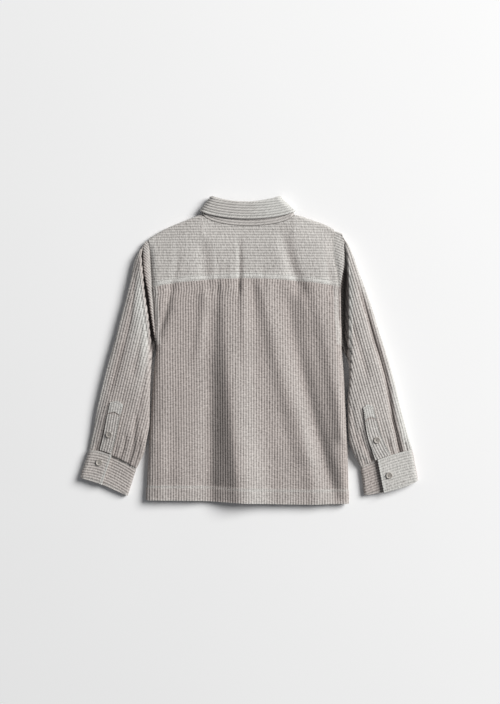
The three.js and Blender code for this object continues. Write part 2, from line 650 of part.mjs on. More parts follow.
function cuff(side) {
  const byDepth = surfaceOf((v) => cuffLine(side, v));
  const { width } = cuffPlaces(side)(0, 0.5);
  const [outerTurn, innerTurn] = [CUFF_UPPER / 2, CUFF_LOWER / 2];
  const stretches = [
    { long: CUFFS[side].lap - outerTurn, steps: 3 },
    { long: Math.PI * outerTurn, steps: 6 },
    { long: width - outerTurn - innerTurn, steps: 2 },
    { long: Math.PI * innerTurn, steps: 6 },
    { long: width - innerTurn - CUFFS[side].lap + CUFF.underLap, steps: 4 },
  ];
  const whole = stretches.reduce((sum, { long }) => sum + long, 0);
  const rows = [0];
  for (const { long, steps } of stretches) {
    for (let i = 0; i < steps; i++) rows.push(rows.at(-1) + long / whole / steps);
  }
  return wall((v, u) => byDepth(u, v), {
    rows: rows.map(clamp),
    fine: evenShares(2 * CUFF.wales),
    plain: evenShares(3),
    relief: waleRelief,
    thick: DOUBLE,
    turn: side === "left" ? -1 : 1,
  });
}

// A placket, made from the sleeve's own points and moved out over its wales
function placketPlace(side, v, u) {
  const strip = PLACKETS[side];
  const peak = PLACKET.peak * (1 - Math.abs(2 * u - 1)) * SLEEVE_ROWS;
  const high = lerp(strip.rowFrom, strip.rowTo, u) - peak;
  const from = lerp(strip.lowFrom, strip.highFrom, v);
  const to = lerp(strip.lowTo, strip.highTo, v);
  return sleevePoints(side)(lerp(SLEEVE_ROWS - 0.05, high, v), lerp(from, to, u), true);
}

function raisedPlacket(side, rise) {
  const turn = side === "left" ? 1 : -1;
  return (v, u) => {
    const [{ place, normal }] = faceGrid(
      (a, b) => placketPlace(side, a, b), [v], [u], false, turn,
    )[0];
    return place.addScaledVector(normal, rise);
  };
}

function placket(side) {
  return wall(raisedPlacket(side, LAID_GAP + DOUBLE), {
    rows: evenShares(9),
    fine: evenShares(2 * PLACKET.wales),
    plain: evenShares(4),
    relief: waleRelief,
    thick: DOUBLE - WALE_RISE,
    turn: side === "left" ? 1 : -1,
  });
}

// A collar ring: flattened round the neck, its back on top and its front below. The angle is 0 in the
// middle of the back and a half turn in the middle of the front.
function collarPoint(ring, angle) {
  const facing = Math.cos(angle);
  const [deep, ease] = facing > 0 ? [ring.back, ring.backEase] : [ring.front, ring.frontEase];
  const sag = deep * Math.abs(facing) ** ease;
  const middle = (ring.top + ring.bottom) / 2;
  const half = (ring.top - ring.bottom) / 2;
  const inward = ring.half * (1 - Math.abs(Math.sin(angle)));
  const round = Math.sqrt(1 - (1 - clamp(inward / half)) ** 2);
  const z = middle + Math.sign(facing) * half * round;
  return vec(ring.x + ring.half * Math.sin(angle), ring.y - sag, z);
}

const mixRings = (a, b, t) =>
  Object.fromEntries(Object.keys(a).map((name) => [name, lerp(a[name], b[name], t)]));

const collarAngles = (count, end) =>
  range(count + 1, (i) => {
    const t = (2 * i) / count - 1;
    return end * (t + 0.09 * Math.sin(2 * Math.PI * t));
  });

function collarStand() {
  const heights = { top: NECK_HEIGHT, bottom: COLLAR_UNDER };
  const low = { ...COLLAR.neck, ...heights };
  const high = mixRings(low, { ...COLLAR.roll, ...heights }, 0.93);
  const lap = 0.14;
  const over = DOUBLE + SEAM_GAP;
  const angles = collarAngles(28, Math.PI + lap);
  return wall(
    (v, u) => {
      const angle = lerp(-Math.PI - lap, Math.PI + lap, v);
      const place = collarPoint(mixRings(low, high, u), angle);
      if (angle > Math.PI / 2) place.z += over * smooth((angle - Math.PI + 0.6) / 0.35);
      return place;
    },
    {
      rows: angles.map((a) => (a / (Math.PI + lap) + 1) / 2),
      fine: evenShares(2 * COLLAR_WALES.stand),
      plain: evenShares(3),
      relief: (column, v, place) => (place.z > 10 ? waleRelief(column) : 0),
      thick: DOUBLE,
      turn: -1,
    },
  );
}

function collarFall() {
  const turnHalf = (DOUBLE + WALE_RISE + LAID_GAP + DOUBLE) / 2;
  const meet = { ...COLLAR.roll, y: COLLAR.roll.y + 3 * SEAM_GAP, front: COLLAR.roll.front - 1.5 };
  meet.top = NECK_HEIGHT - DOUBLE + turnHalf;
  meet.bottom = COLLAR_UNDER / 2 + DOUBLE / 2;
  const under = (COLLAR_UNDER + DOUBLE) / 2;
  const turned = (angle) => {
    const out = -Math.cos(angle);
    return {
      ...meet,
      half: meet.half + turnHalf * out,
      y: meet.y + turnHalf * Math.sin(angle),
      top: meet.top + turnHalf * out,
      bottom: meet.bottom - under * out,
    };
  };
  const outside = turned(Math.PI);
  const edge = { ...COLLAR.edge, top: outside.top - 0.3, bottom: 0 };
  const turnShare = 0.26;
  const ringAt = (u) =>
    u < turnShare
      ? turned((Math.PI * u) / turnShare)
      : mixRings(outside, edge, (u - turnShare) / (1 - turnShare));
  const endAt = (u) => Math.PI - 0.03 - COLLAR_LEAF_END * clamp((u - turnShare) / (1 - turnShare));
  const angles = collarAngles(30, 1);
  return wall((v, u) => collarPoint(ringAt(u), endAt(u) * (2 * v - 1)), {
    rows: angles.map((a) => (a + 1) / 2),
    fine: evenShares(2 * COLLAR_WALES.fall),
    plain: [0, 0.06, 0.13, 0.2, 0.26, 0.6, 1],
    relief: (column, v, place) => (place.z > 10 ? waleRelief(column) : 0),
    thick: DOUBLE,
  });
}

// A button, its back at the point; one that shows is dished and has four holes.
function button(place, normal, holes = true) {
  const { radius, thick, dish, rim, hole, spread } = BUTTON;
  const round = (r, height, z, sides) =>
    wasm.Manifold.cylinder(height, r, r, sides).translate([0, 0, z]);
  let solid = round(radius, thick, 0, holes ? 16 : 12);
  if (holes) {
    solid = solid.subtract(round(radius - rim, dish, thick - dish, 16));
    for (const [x, y] of [[1, 1], [-1, 1], [-1, -1], [1, -1]]) {
      const drill = round(hole, 2 * thick, -thick / 2, 6);
      solid = solid.subtract(drill.translate([x * spread, y * spread, 0]));
    }
  }
  const geometry = fromManifold(solid);
  geometry.applyQuaternion(new THREE.Quaternion().setFromUnitVectors(vec(0, 0, 1), normal));
  return geometry.translate(place.x, place.y, place.z);
}

function placketButton(side) {
  const strip = PLACKETS[side];
  const { row, share } = SLEEVE_BUTTONS[side];
  const v = (SLEEVE_ROWS - row) / (SLEEVE_ROWS - (strip.rowFrom + strip.rowTo) / 2);
  const from = lerp(strip.lowFrom, strip.highFrom, v);
  const to = lerp(strip.lowTo, strip.highTo, v);
  const rise = LAID_GAP + DOUBLE + WALE_RISE + 0.4;
  const surface = raisedPlacket(side, rise);
  const turn = side === "left" ? 1 : -1;
  const [{ place, normal }] = faceGrid(surface, [v], [(share - from) / (to - from)], false, turn)[0];
  return button(place, normal);
}

function cuffButton(side) {
  const { cuffAcross, cuffDown } = SLEEVE_BUTTONS[side];
  const { place } = cuffPlaces(side)(cuffAcross, cuffDown);
  const shape = CUFFS[side];
  const lifted = shape.lift * smooth(cuffAcross / shape.lap);
  return button(place.setZ(CUFF_UPPER + lifted + WALE_RISE + 0.5), vec(0, 0, 1));
}

const group = new THREE.Group();
const cloth = new THREE.MeshStandardMaterial({ color: CLOTH_COLOUR, roughness: 0.95 });
const shell = new THREE.MeshStandardMaterial({ color: BUTTON_COLOUR, roughness: 0.5 });

function add(name, geometry, material) {
  geometry.computeVertexNormals();
  const mesh = new THREE.Mesh(geometry, material);
  mesh.name = name;
  group.add(mesh);
}

add("back", backPanel(), cloth);
add("yoke", yoke(), cloth);
add("collar_stand", collarStand(), cloth);
add("collar_fall", collarFall(), cloth);
for (const side of ["left", "right"]) {
  add(`front_${side}`, front(side), cloth);
  add(`sleeve_${side}`, sleeve(side), cloth);
  add(`cuff_${side}`, cuff(side), cloth);
  add(`placket_${side}`, placket(side), cloth);
  add(`placket_button_${side}`, placketButton(side), shell);
  add(`cuff_button_${side}`, cuffButton(side), shell);
}
for (let i = 0; i < FRONT_BUTTONS.count; i++) {
  const place = vec(NECK.x, FRONT_BUTTONS.yTop - i * FRONT_BUTTONS.pitch, 0.1);
  add(`front_button_${i + 1}`, button(place, vec(0, 0, 1), false), shell);
}

export default group;
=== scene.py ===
import json
import math

import bpy
import numpy as np
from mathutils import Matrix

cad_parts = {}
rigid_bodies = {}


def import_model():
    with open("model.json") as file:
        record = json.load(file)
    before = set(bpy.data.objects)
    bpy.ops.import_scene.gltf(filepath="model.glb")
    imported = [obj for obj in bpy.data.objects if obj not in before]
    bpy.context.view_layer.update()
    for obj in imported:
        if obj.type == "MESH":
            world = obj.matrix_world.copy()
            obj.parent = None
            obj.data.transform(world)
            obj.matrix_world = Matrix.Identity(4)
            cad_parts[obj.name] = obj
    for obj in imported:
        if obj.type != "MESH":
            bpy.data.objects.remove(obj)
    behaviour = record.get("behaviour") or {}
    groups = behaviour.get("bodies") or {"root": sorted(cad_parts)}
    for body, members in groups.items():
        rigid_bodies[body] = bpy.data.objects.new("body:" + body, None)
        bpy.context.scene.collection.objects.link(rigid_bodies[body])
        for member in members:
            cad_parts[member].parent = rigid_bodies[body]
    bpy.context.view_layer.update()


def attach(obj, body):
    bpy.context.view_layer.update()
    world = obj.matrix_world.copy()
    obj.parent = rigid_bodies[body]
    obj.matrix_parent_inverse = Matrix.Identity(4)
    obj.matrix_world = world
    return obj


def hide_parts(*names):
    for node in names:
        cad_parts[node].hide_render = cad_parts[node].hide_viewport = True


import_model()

# A child's wide-wale corduroy overshirt, laid on its front with the back showing.
# Shapes are worked out in millimetres in the frame's axes, and made in metres.

MM = 0.001

# Cloth
GROUND, DOUBLE = 1.6, 2.6  # one layer, and two sewn together
PITCH = 4.75  # of the wales
RISE = 1.05
SEAM_GAP = 0.4
LAID_GAP = 0.5
HEM_DEPTH, HEM_RISE = 27, 0.9

# How the shirt lies
LOFT = 17
ARMHOLE_HEIGHT = 11
SIDE_SEAM_HEIGHT = 8
NECK_HEIGHT = 14
EDGE_ROLL = 13
SHOULDER_SLOPE = 45
FRONT_LIFT = 3.1
FRONT_LAP = 24
FRONT_YOKE = 26
UNDERARM = 11
NECK = {"x": -1, "y": 246, "half": 82, "back": 22.5, "front": 62}
SIGN = {"left": -1, "right": 1}


def table(columns, rows):
    return {name: np.array(values, float) for name, values in zip(columns.split(), zip(*rows))}


# The body's outline, from the shoulder tips down to the hem
BODY = table("y left right", [
    (217, -181, 151),
    (200, -178.2, 149),
    (172, -175.5, 149.5),
    (145, -173.7, 155.6),
    (114, -171.9, 158.6),
    (58, -168, 160.5),
    (28, -166.4, 163),
    (8, -165.6, 165),
    (-53, -170.6, 170),
    (-107, -174.4, 172.8),
    (-161, -177.8, 175),
    (-215, -180.9, 177),
    (-278, -184, 177.5),
])
YOKE_SEAM = table("x y", [
    (-173, 114), (-142, 120.5), (-88, 126.5), (-7, 130.4), (56, 128), (128, 121), (160, 116),
])
SHOULDER = table("x y", [
    (-181, 199), (-160, 212.4), (-142, 221.4), (-106, 235.8), (-83, 243.5), (-2, 252),
    (81, 243.5), (119, 231.7), (137, 225), (154, 215.5),
])
HEM = table("x y", [(-184, -268.5), (-90, -269.5), (0, -273.5), (100, -276), (178, -275)])

# Folds of the back and yoke: a line through three points, the rise at both ends, and the widths over
# which it falls away to the left, at the top and low down, and to the right. Troughs are negative.
FOLDS = table("x_top y_top x_mid y_mid x_low y_low rise_top rise_low left_top left_low right", [
    (-42, 108, -32, -60, -12, -272, 2.8, 13.5, 14, 25, 36),
    (-68, 60, -70, -100, -70, -272, -1.6, -5.5, 12, 24, 16),
    (26, 112, 54, -20, 104, -190, 4.2, 3, 11, 22, 20),
    (72, 84, 97, -45, 154, -262, -2, -6.2, 14, 18, 16),
    (118, 108, 144, 0, 172, -150, 2.6, 6.5, 15, 18, 24),
    (-80, 114, -82, 60, -95, -20, 3, 0.8, 7, 9, 9),
    (-11, 114, -9, 50, -4, -60, 2.8, 0.6, 6, 8, 10),
    (-83, 184, -79, 150, -78, 118, -1.6, -3.4, 13, 11, 12),
    (-18, 190, -17, 150, -18, 116, -1.4, -3.4, 4, 4, 5),
    (61, 217, 70, 172, 92, 114, -2, -4.4, 11, 12, 11),
    (150, 210, 148, 160, 152, 112, -3, -4, 10, 12, 9),
    (-140, 109, -147, 76, -161, 32, -2.6, -3.6, 6, 7, 7),
])
FOLD_END = 26

# Small creases that only the dressed model has, in the same columns
CREASES = table("x_top y_top x_mid y_mid x_low y_low rise_top rise_low left_top left_low right", [
    (-128, 190, -130, 150, -134, 122, -0.6, -1.2, 6, 6, 6),
    (-58, 165, -56, 140, -56, 118, -0.4, -1.2, 4, 5, 5),
    (-34, 160, -33, 140, -34, 118, 0.4, 1.0, 5, 5, 4),
    (24, 140, 26, 128, 27, 116, -0.6, -1.2, 4, 5, 5),
    (-112, 10, -120, -90, -124, -230, 0.4, 1.1, 12, 16, 12),
    (40, -70, 52, -170, 62, -272, 0.3, 1.4, 12, 16, 16),
    (95, -130, 108, -200, 118, -272, 0.6, 1.5, 10, 14, 10),
    (-150, -60, -154, -150, -158, -265, 0.5, 1.6, 8, 10, 12),
    (-56, 104, -57, 70, -60, 10, -0.9, -0.3, 4, 5, 5),
    (8, 110, 10, 80, 14, 30, -0.9, -0.4, 5, 6, 5),
    (92, 112, 96, 92, 104, 60, 0.9, 0.3, 5, 6, 6),
])

# Sleeves: a row for each ring, as in the solids
RING = "at x_out y_out x_in y_in bow lean height ends hug pull"
SLEEVES = {
    "left": table(RING, [
        (0, -179.6, 197.6, -166.1, 11, 0, 0.8, 11, 11, 1, 0),
        (1, -182.5, 196, -167.7, 8.5, 9, 0.5, 13, 12, 0, 0.3),
        (1.25, -183.3, 195.3, -168.2, 7.8, 9.3, 0.5, 3, 11.5, 0, 0.25),
        (2, -187.3, 190, -170.5, 3, 6.8, 0.5, 2, 12.5, 0, 0.1),
        (2.75, -191.2, 184.5, -173, -3, 4.2, 0.5, 3, 13.5, 0, 0),
        (3, -192, 183.5, -173.3, -4, 3.8, 0.5, 17, 14, 0, 0),
        (4, -197.5, 175, -175, -14, 5, 0.8, 19, 17, 0, 0),
        (5, -204, 161, -176, -28, 3, 0.8, 21, 20, 0, 0),
        (6, -210, 136, -177, -46, 2, 0.8, 22, 22, 0, 0),
        (7, -219.6, 91, -178, -68, 0, 0.8, 23, 23, 0, 0),
        (8, -232, 48, -178.5, -92, 0, 0.8, 23, 23, 0, 0),
        (9, -246, -4, -179, -114, 0, 0.8, 23, 23, 0, 0),
        (10, -259.2, -53, -180, -137, 0, 0.8, 22, 22, 0, 0),
        (11, -270, -99, -184.5, -160, 0, 0.8, 21, 20, 0, 0),
        (12, -279, -143, -190, -185, -3, 0.8, 18, 17, 0, 0),
        (13, -286.6, -178.2, -202, -210, -7, 0.8, 14, 13, 0, 0),
    ]),
    "right": table(RING, [
        (0, 152, 215, 165.3, 11, 0, 0.8, 11, 11, 1, 0),
        (1, 156, 212, 167, 8, 12, 0.35, 10.8, 11.5, 0, 0.85),
        (1.25, 157, 211.4, 167.6, 7.4, 12.4, 0.36, 3, 11.5, 0, 0.8),
        (2, 164, 206, 171, 0, 9, 0.5, 2, 12, 0, 0.35),
        (2.75, 170.6, 199, 176, -10.5, 5.8, 0.8, 3, 13, 0, 0),
        (3, 171.5, 198, 176.5, -11.5, 5.6, 0.8, 16, 14, 0, 0),
        (4, 178.2, 188, 179.5, -26, 3, 0.8, 19, 17, 0, 0),
        (5, 187, 168, 181, -44, 2, 0.8, 21, 20, 0, 0),
        (6, 198, 136, 180, -64, 0, 0.8, 22, 22, 0, 0),
        (7, 216, 87, 178, -86, 0, 0.8, 23, 23, 0, 0),
        (8, 231, 37, 178, -106, 0, 0.8, 23, 23, 0, 0),
        (9, 246, -8, 178.5, -128, 0, 0.8, 23, 23, 0, 0),
        (10, 260.5, -58, 179.5, -150, 0, 0.8, 22, 22, 0, 0),
        (11, 273, -112, 183, -172, 0, 0.8, 21, 20, 0, 0),
        (12, 284.5, -152, 191, -190, -1, 0.8, 18, 17, 0, 0),
        (13, 292.5, -177.3, 200.5, -207, -3, 0.8, 14, 13, 0, 0),
    ]),
}
SLEEVE_PUFF = 4
CREVICE_FLOOR = 3.4
CREVICE_START = {"left": 0.13, "right": 0.3}  # share of the ring where the crevice has its full depth
SLEEVE_TILT = {"left": 0.75, "right": 0.2}  # how much lower the outer edge of the upper face lies
SLEEVE_FOLDS = {
    "left": table("from_row mid_row to_row start mid end deep wide", [
        (9.5, 11.5, 13.6, 0.72, 0.78, 0.84, 2.4, 0.05),
        (11.2, 12.4, 13.6, 0.6, 0.63, 0.62, 1.8, 0.035),
        (10.6, 12, 13.6, 0.86, 0.9, 0.94, 1.8, 0.035),
        (5, 8, 10.5, 0.16, 0.2, 0.16, 1.6, 0.05),
        (4.4, 6.4, 9, 0.62, 0.55, 0.5, 1.5, 0.07),
        (6, 8, 10, 0.84, 0.8, 0.74, 1.4, 0.05),
        (12.2, 13, 13.6, 0.5, 0.5, 0.5, 1.4, 0.03),
        (12.4, 13, 13.6, 0.1, 0.12, 0.14, 1.4, 0.03),
    ]),
    "right": table("from_row mid_row to_row start mid end deep wide", [
        (5.5, 9.4, 13.6, 0.13, 0.13, 0.25, 5.5, 0.05),
        (10, 12, 13.6, 0.8, 0.77, 0.74, 2.6, 0.05),
        (4.5, 6.5, 9, 0.6, 0.5, 0.42, 1.6, 0.07),
        (8, 10, 12, 0.9, 0.88, 0.86, 1.8, 0.04),
        (11.6, 12.6, 13.6, 0.36, 0.38, 0.38, 2.2, 0.035),
        (12.2, 13, 13.6, 0.88, 0.9, 0.9, 1.6, 0.03),
        (12.2, 13, 13.6, 0.08, 0.1, 0.12, 1.4, 0.03),
    ]),
}

CUFFS = {
    "left": {"x_out": -303, "y_out": -228, "x_in": -218, "y_in": -260.5, "bow": -2, "lap": 41, "lift": 0.6},
    "right": {"x_out": 303, "y_out": -233, "x_in": 207, "y_in": -259.5, "bow": 5, "lap": 65, "lift": 2.6},
}
CUFF_LOWER = 2 * DOUBLE + 4.4
CUFF_UPPER = CUFF_LOWER + 1 + LAID_GAP + DOUBLE
UNDER_LAP = 22
PLACKETS = {
    "left": {"low": (0.21, 0.44), "high": (0.22, 0.457), "rows": (10.5, 10.15)},
    "right": {"low": (0.42, 0.695), "high": (0.476, 0.665), "rows": (9.93, 9.47)},
}
PLACKET_PEAK = 0.13

COLLAR = {
    "neck": {"x": -1, "half": 82, "y": 246, "back": 22.5, "front": 62, "back_ease": 1, "front_ease": 1},
    "roll": {"x": -6, "half": 61, "y": 272, "back": 10, "front": 50, "back_ease": 1.8, "front_ease": 2.4},
    "edge": {"x": -2.5, "half": 85.5, "y": 250.5, "back": 15, "front": 98, "back_ease": 1.4, "front_ease": 2.8},
}
COLLAR_UNDER = 3.1
LEAF_END = 0.3


def lerp(a, b, t):
    return a + (b - a) * t


def clamp(t):
    return np.clip(t, 0, 1)


def smooth(t):
    t = clamp(t)
    return t * t * (3 - 2 * t)


def through(rows, key, column):
    order = np.argsort(rows[key])
    xs, ys = rows[key][order], rows[column][order]
    last = len(xs) - 1
    before, after = np.maximum(np.arange(last + 1) - 1, 0), np.minimum(np.arange(last + 1) + 1, last)
    slope = (ys[after] - ys[before]) / (xs[after] - xs[before])

    def at(place):
        place = np.asarray(place, float)
        i = np.clip(np.searchsorted(xs, place) - 1, 0, last - 1)
        span = xs[i + 1] - xs[i]
        t = clamp((place - xs[i]) / span)
        bend = span * t * (1 - t) * (slope[i] * (1 - t) - slope[i + 1] * t)
        return lerp(ys[i], ys[i + 1], smooth(t)) + bend

    return at


left_edge, right_edge = through(BODY, "y", "left"), through(BODY, "y", "right")
yoke_seam, shoulder, hem = through(YOKE_SEAM, "x", "y"), through(SHOULDER, "x", "y"), through(HEM, "x", "y")
SEAM_REACH = 1.3


def reach(y):
    """The body's seam goes this far over the sleeve beside it"""
    return SEAM_REACH * smooth((y - UNDERARM) / 8)


def left_seam(y):
    return left_edge(y) - reach(y)


def right_seam(y):
    return right_edge(y) + reach(y)


def from_armhole(x, y):
    """Distance from the nearer armhole seam, large along the side seams"""
    return np.minimum(x - left_edge(y), right_edge(y) - x) + 60 * (1 - smooth((y - UNDERARM + 6) / 6))


def folds_at(rows, x, y):
    total = np.zeros(np.broadcast(x, y).shape)
    for i in range(len(rows["x_top"])):
        f = {name: values[i] for name, values in rows.items()}
        level = np.clip(y, f["y_low"], f["y_top"])
        down = (f["y_top"] - level) / (f["y_top"] - f["y_low"])
        top = (level - f["y_mid"]) * (level - f["y_low"]) / ((f["y_top"] - f["y_mid"]) * (f["y_top"] - f["y_low"]))
        mid = (level - f["y_top"]) * (level - f["y_low"]) / ((f["y_mid"] - f["y_top"]) * (f["y_mid"] - f["y_low"]))
        low = (level - f["y_top"]) * (level - f["y_mid"]) / ((f["y_low"] - f["y_top"]) * (f["y_low"] - f["y_mid"]))
        off = x - (f["x_top"] * top + f["x_mid"] * mid + f["x_low"] * low)
        width = np.where(off < 0, lerp(f["left_top"], f["left_low"], down), f["right"])
        fade = 1 - smooth(np.abs(y - level) / FOLD_END)
        total = total + lerp(f["rise_top"], f["rise_low"], down) * np.exp(-((off / width) ** 2)) * fade
    return total


def painted_slope_shade(base):
    """Painted shade: darkens slopes that face left, turned from the key light"""
    slope = np.gradient(base[..., 2], axis=1) / np.maximum(np.abs(np.gradient(base[..., 0], axis=1)), 0.05)
    return -0.7 * np.clip(slope, -0.3, 0.45)


def ripple(x, y):
    """Slow unevenness of cloth that has been worn and washed"""
    a = np.sin(x / 21 + 1.3 * np.sin(y / 63) + 0.4) * np.sin(y / 47 + 0.8 * np.sin(x / 58))
    b = np.sin(x / 11.3 + y / 38 + 2.1) * np.sin(y / 29 - x / 83)
    return 0.32 * a + 0.2 * b


def neck_curve(x):
    share = np.clip((x - NECK["x"]) / NECK["half"], -1, 1)
    return NECK["y"] - NECK["back"] * np.sqrt(1 - share * share)


def upper_edge(x):
    return np.where(np.abs(x - NECK["x"]) < NECK["half"], neck_curve(x), shoulder(x))


def fold_height(x):
    return lerp(NECK_HEIGHT, ARMHOLE_HEIGHT, smooth((np.abs(x - NECK["x"]) - NECK["half"]) / 70))


def over_edge(d):
    return np.sqrt(1 - (1 - clamp(d / EDGE_ROLL)) ** 2)


def back_height(x, y):
    inland = smooth((upper_edge(x) - y) / SHOULDER_SLOPE)
    opening = lerp(0.86, 1, smooth((y - hem(x)) / 60))
    raised = LOFT + folds_at(FOLDS, x, y) + folds_at(CREASES, x, y) + ripple(x, y)
    loft = lerp(fold_height(x), raised, inland) * opening
    edge = lerp(SIDE_SEAM_HEIGHT, ARMHOLE_HEIGHT, smooth((y - UNDERARM + 10) / 10))
    from_edge = np.maximum(0, np.minimum(x - left_edge(y), right_edge(y) - x))
    return lerp(edge, loft, over_edge(from_edge))


def front_lift(x, y):
    off = np.abs(x - NECK["x"])
    collar = (1 - smooth((off - 98) / 20)) * smooth((y - 136) / 18)
    return FRONT_LIFT * np.maximum(1 - smooth((off - 26) / 20), collar)


def respace(line, shares):
    """Points of a line at shares of its length"""
    far = np.concatenate([[0], np.cumsum(np.linalg.norm(np.diff(line, axis=0), axis=1))])
    return np.stack([np.interp(shares * far[-1], far, line[:, k]) for k in range(3)], 1)


def along_rows(grid):
    """How far each point is along its row"""
    steps = np.linalg.norm(np.diff(grid, axis=1), axis=2)
    return np.concatenate([np.zeros((len(grid), 1)), np.cumsum(steps, axis=1)], axis=1)


def along_columns(grid):
    return along_rows(grid.transpose(1, 0, 2)).T


def normals_of(grid, closed, turn):
    if closed:
        across = np.roll(grid, -1, axis=1) - np.roll(grid, 1, axis=1)
    else:
        across = np.gradient(grid, axis=1)
    down = np.gradient(grid, axis=0)
    n = np.cross(across, down) * turn
    return n / np.maximum(np.linalg.norm(n, axis=2, keepdims=True), 1e-9)


def wale(phase):
    """A rounded rib with a narrow groove, from 0 in the groove to 1 on the crest"""
    return 1 - np.abs(2 * (phase % 1) - 1) ** 2.4


def zip_lines(a, b, shares_a, shares_b, closed, swap):
    faces = []
    end_a, end_b = (len(a), len(b)) if closed else (len(a) - 1, len(b) - 1)
    sa, sb = np.append(shares_a, 1.0), np.append(shares_b, 1.0)
    i = j = 0
    while i < end_a or j < end_b:
        if j >= end_b or (i < end_a and sa[i + 1] <= sb[j + 1]):
            face = (a[i], a[(i + 1) % len(a)], b[j % len(b)])
            i += 1
        else:
            face = (a[i % len(a)], b[(j + 1) % len(b)], b[j])
            j += 1
        faces.append((face[1], face[0], face[2]) if swap else face)
    return faces


def grid_faces(numbers, closed):
    right = np.roll(numbers, -1, axis=1) if closed else numbers[:, 1:]
    left = numbers if closed else numbers[:, :-1]
    return np.stack([left[:-1], right[:-1], right[1:], left[1:]], axis=2).reshape(-1, 4)


def shell(name, base, relief, cloth, turn=1, thick=GROUND, closed=False, stride=(4, 6), wear_light_and_shade=0.0):
    """A closed piece of cloth: an outer face with its relief over a plainer inner face. cloth holds
    each point's place in wales across, in millimetres along, and its height on the wale. The last
    argument holds how pale the pile has worn, plus painted light where a part is made paler for the
    light falling on it; below zero it holds painted shade."""
    normal = normals_of(base, closed, turn)
    outer = base + normal * relief[..., None]
    rows, cols = base.shape[:2]
    r = np.unique(np.append(np.arange(0, rows, stride[0]), rows - 1))
    c = np.arange(0, cols, stride[1])
    if not closed:
        c = np.unique(np.append(c, cols - 1))
    inner = (base - normal * thick)[np.ix_(r, c)]
    inner[..., 2] = np.maximum(inner[..., 2], 0.15)
    inner_cloth = cloth[np.ix_(r, c)].copy()
    inner_cloth[..., 2] = 0.7
    out = np.arange(rows * cols).reshape(rows, cols)
    inn = (rows * cols + np.arange(len(r) * len(c))).reshape(len(r), len(c))
    quads = np.concatenate([grid_faces(out, closed), grid_faces(inn, closed)[:, ::-1]])
    shares = [np.arange(rows) / (rows - 1), r / (rows - 1)]
    width = cols if closed else cols - 1
    tris = zip_lines(out[0], inn[0], np.arange(cols) / width, c / width, closed, True)
    tris += zip_lines(out[-1], inn[-1], np.arange(cols) / width, c / width, closed, False)
    if not closed:
        tris += zip_lines(out[:, 0], inn[:, 0], *shares, False, False)
        tris += zip_lines(out[:, -1], inn[:, -1], *shares, False, True)
    points = np.concatenate([outer.reshape(-1, 3), inner.reshape(-1, 3)])
    values = np.concatenate([cloth.reshape(-1, 3), inner_cloth.reshape(-1, 3)])
    tris = np.array(tris)
    every = np.concatenate([quads[:, [0, 1, 2]], quads[:, [0, 2, 3]], tris])
    a, b, d = (points[every[:, k]] for k in range(3))
    if (a * np.cross(b, d)).sum() < 0:
        quads, tris = quads[:, ::-1], tris[:, ::-1]
    obj = mesh_object(name, points, quads.tolist() + tris.tolist(), values)
    # Worn paleness, painted light and painted shade all go into this attribute
    worn = np.concatenate([np.broadcast_to(wear_light_and_shade, (rows, cols)).ravel(), np.zeros(inner.shape[0] * inner.shape[1])])
    obj.data.attributes.new("wear_light_and_shade", "FLOAT", "POINT").data.foreach_set("value", worn)
    return obj, outer, normal


def mesh_object(name, points, faces, values=None):
    mesh = bpy.data.meshes.new(name)
    mesh.from_pydata((np.asarray(points) * MM).tolist(), [], faces)
    if values is not None:
        mesh.attributes.new("cloth", "FLOAT_VECTOR", "POINT").data.foreach_set("vector", values.ravel())
    mesh.polygons.foreach_set("use_smooth", [True] * len(mesh.polygons))
    mesh.set_sharp_from_angle(angle=math.radians(75))
    mesh.update()
    obj = bpy.data.objects.new(name, mesh)
    bpy.context.scene.collection.objects.link(obj)
    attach(obj, "root")
    return obj


def cloth_of(phase, along, height):
    return np.stack(np.broadcast_arrays(phase, along, height), axis=-1).astype(float)


# Materials


def new_material(name, roughness):
    m = bpy.data.materials.new(name)
    m.use_nodes = True
    shader = m.node_tree.nodes["Principled BSDF"]
    shader.inputs["Roughness"].default_value = roughness
    return m, m.node_tree, shader


def node(tree, kind, inputs=None, **settings):
    made = tree.nodes.new(kind)
    for key, value in settings.items():
        setattr(made, key, value)
    for key, value in (inputs or {}).items():
        if hasattr(value, "node"):
            tree.links.new(value, made.inputs[key])
        else:
            made.inputs[key].default_value = value
    return made


def ramp(tree, fac, stops):
    made = node(tree, "ShaderNodeValToRGB", {"Fac": fac})
    elements = made.color_ramp.elements
    while len(elements) < len(stops):
        elements.new(0.5)
    for element, (position, color) in zip(elements, stops):
        element.position = position
        element.color = (*color, 1)
    return made.outputs["Color"]


def scaled(tree, color, factor):
    made = node(tree, "ShaderNodeVectorMath", {0: color}, operation="SCALE")
    tree.links.new(factor, made.inputs["Scale"])
    return made.outputs["Vector"]


def linear(tree, value, gain, base):
    return node(tree, "ShaderNodeMath", {0: value, 1: gain, 2: base}, operation="MULTIPLY_ADD").outputs[0]


def times(tree, a, b):
    return node(tree, "ShaderNodeMath", {0: a, 1: b}, operation="MULTIPLY").outputs[0]


def noise_at(tree, place, stretch, detail):
    at = node(tree, "ShaderNodeVectorMath", {0: place, 1: stretch}, operation="MULTIPLY").outputs["Vector"]
    return node(tree, "ShaderNodeTexNoise", {"Vector": at, "Scale": 1.0, "Detail": detail}).outputs["Fac"]


# The groove colour is far darker than the crest: painted shade in the grooves between the wales, in the pile and pale
# ramps alike
CREST, SHADED_GROOVE, WORN_AND_LIT = (0.50, 0.448, 0.424), (0.175, 0.153, 0.142), (0.63, 0.625, 0.60)


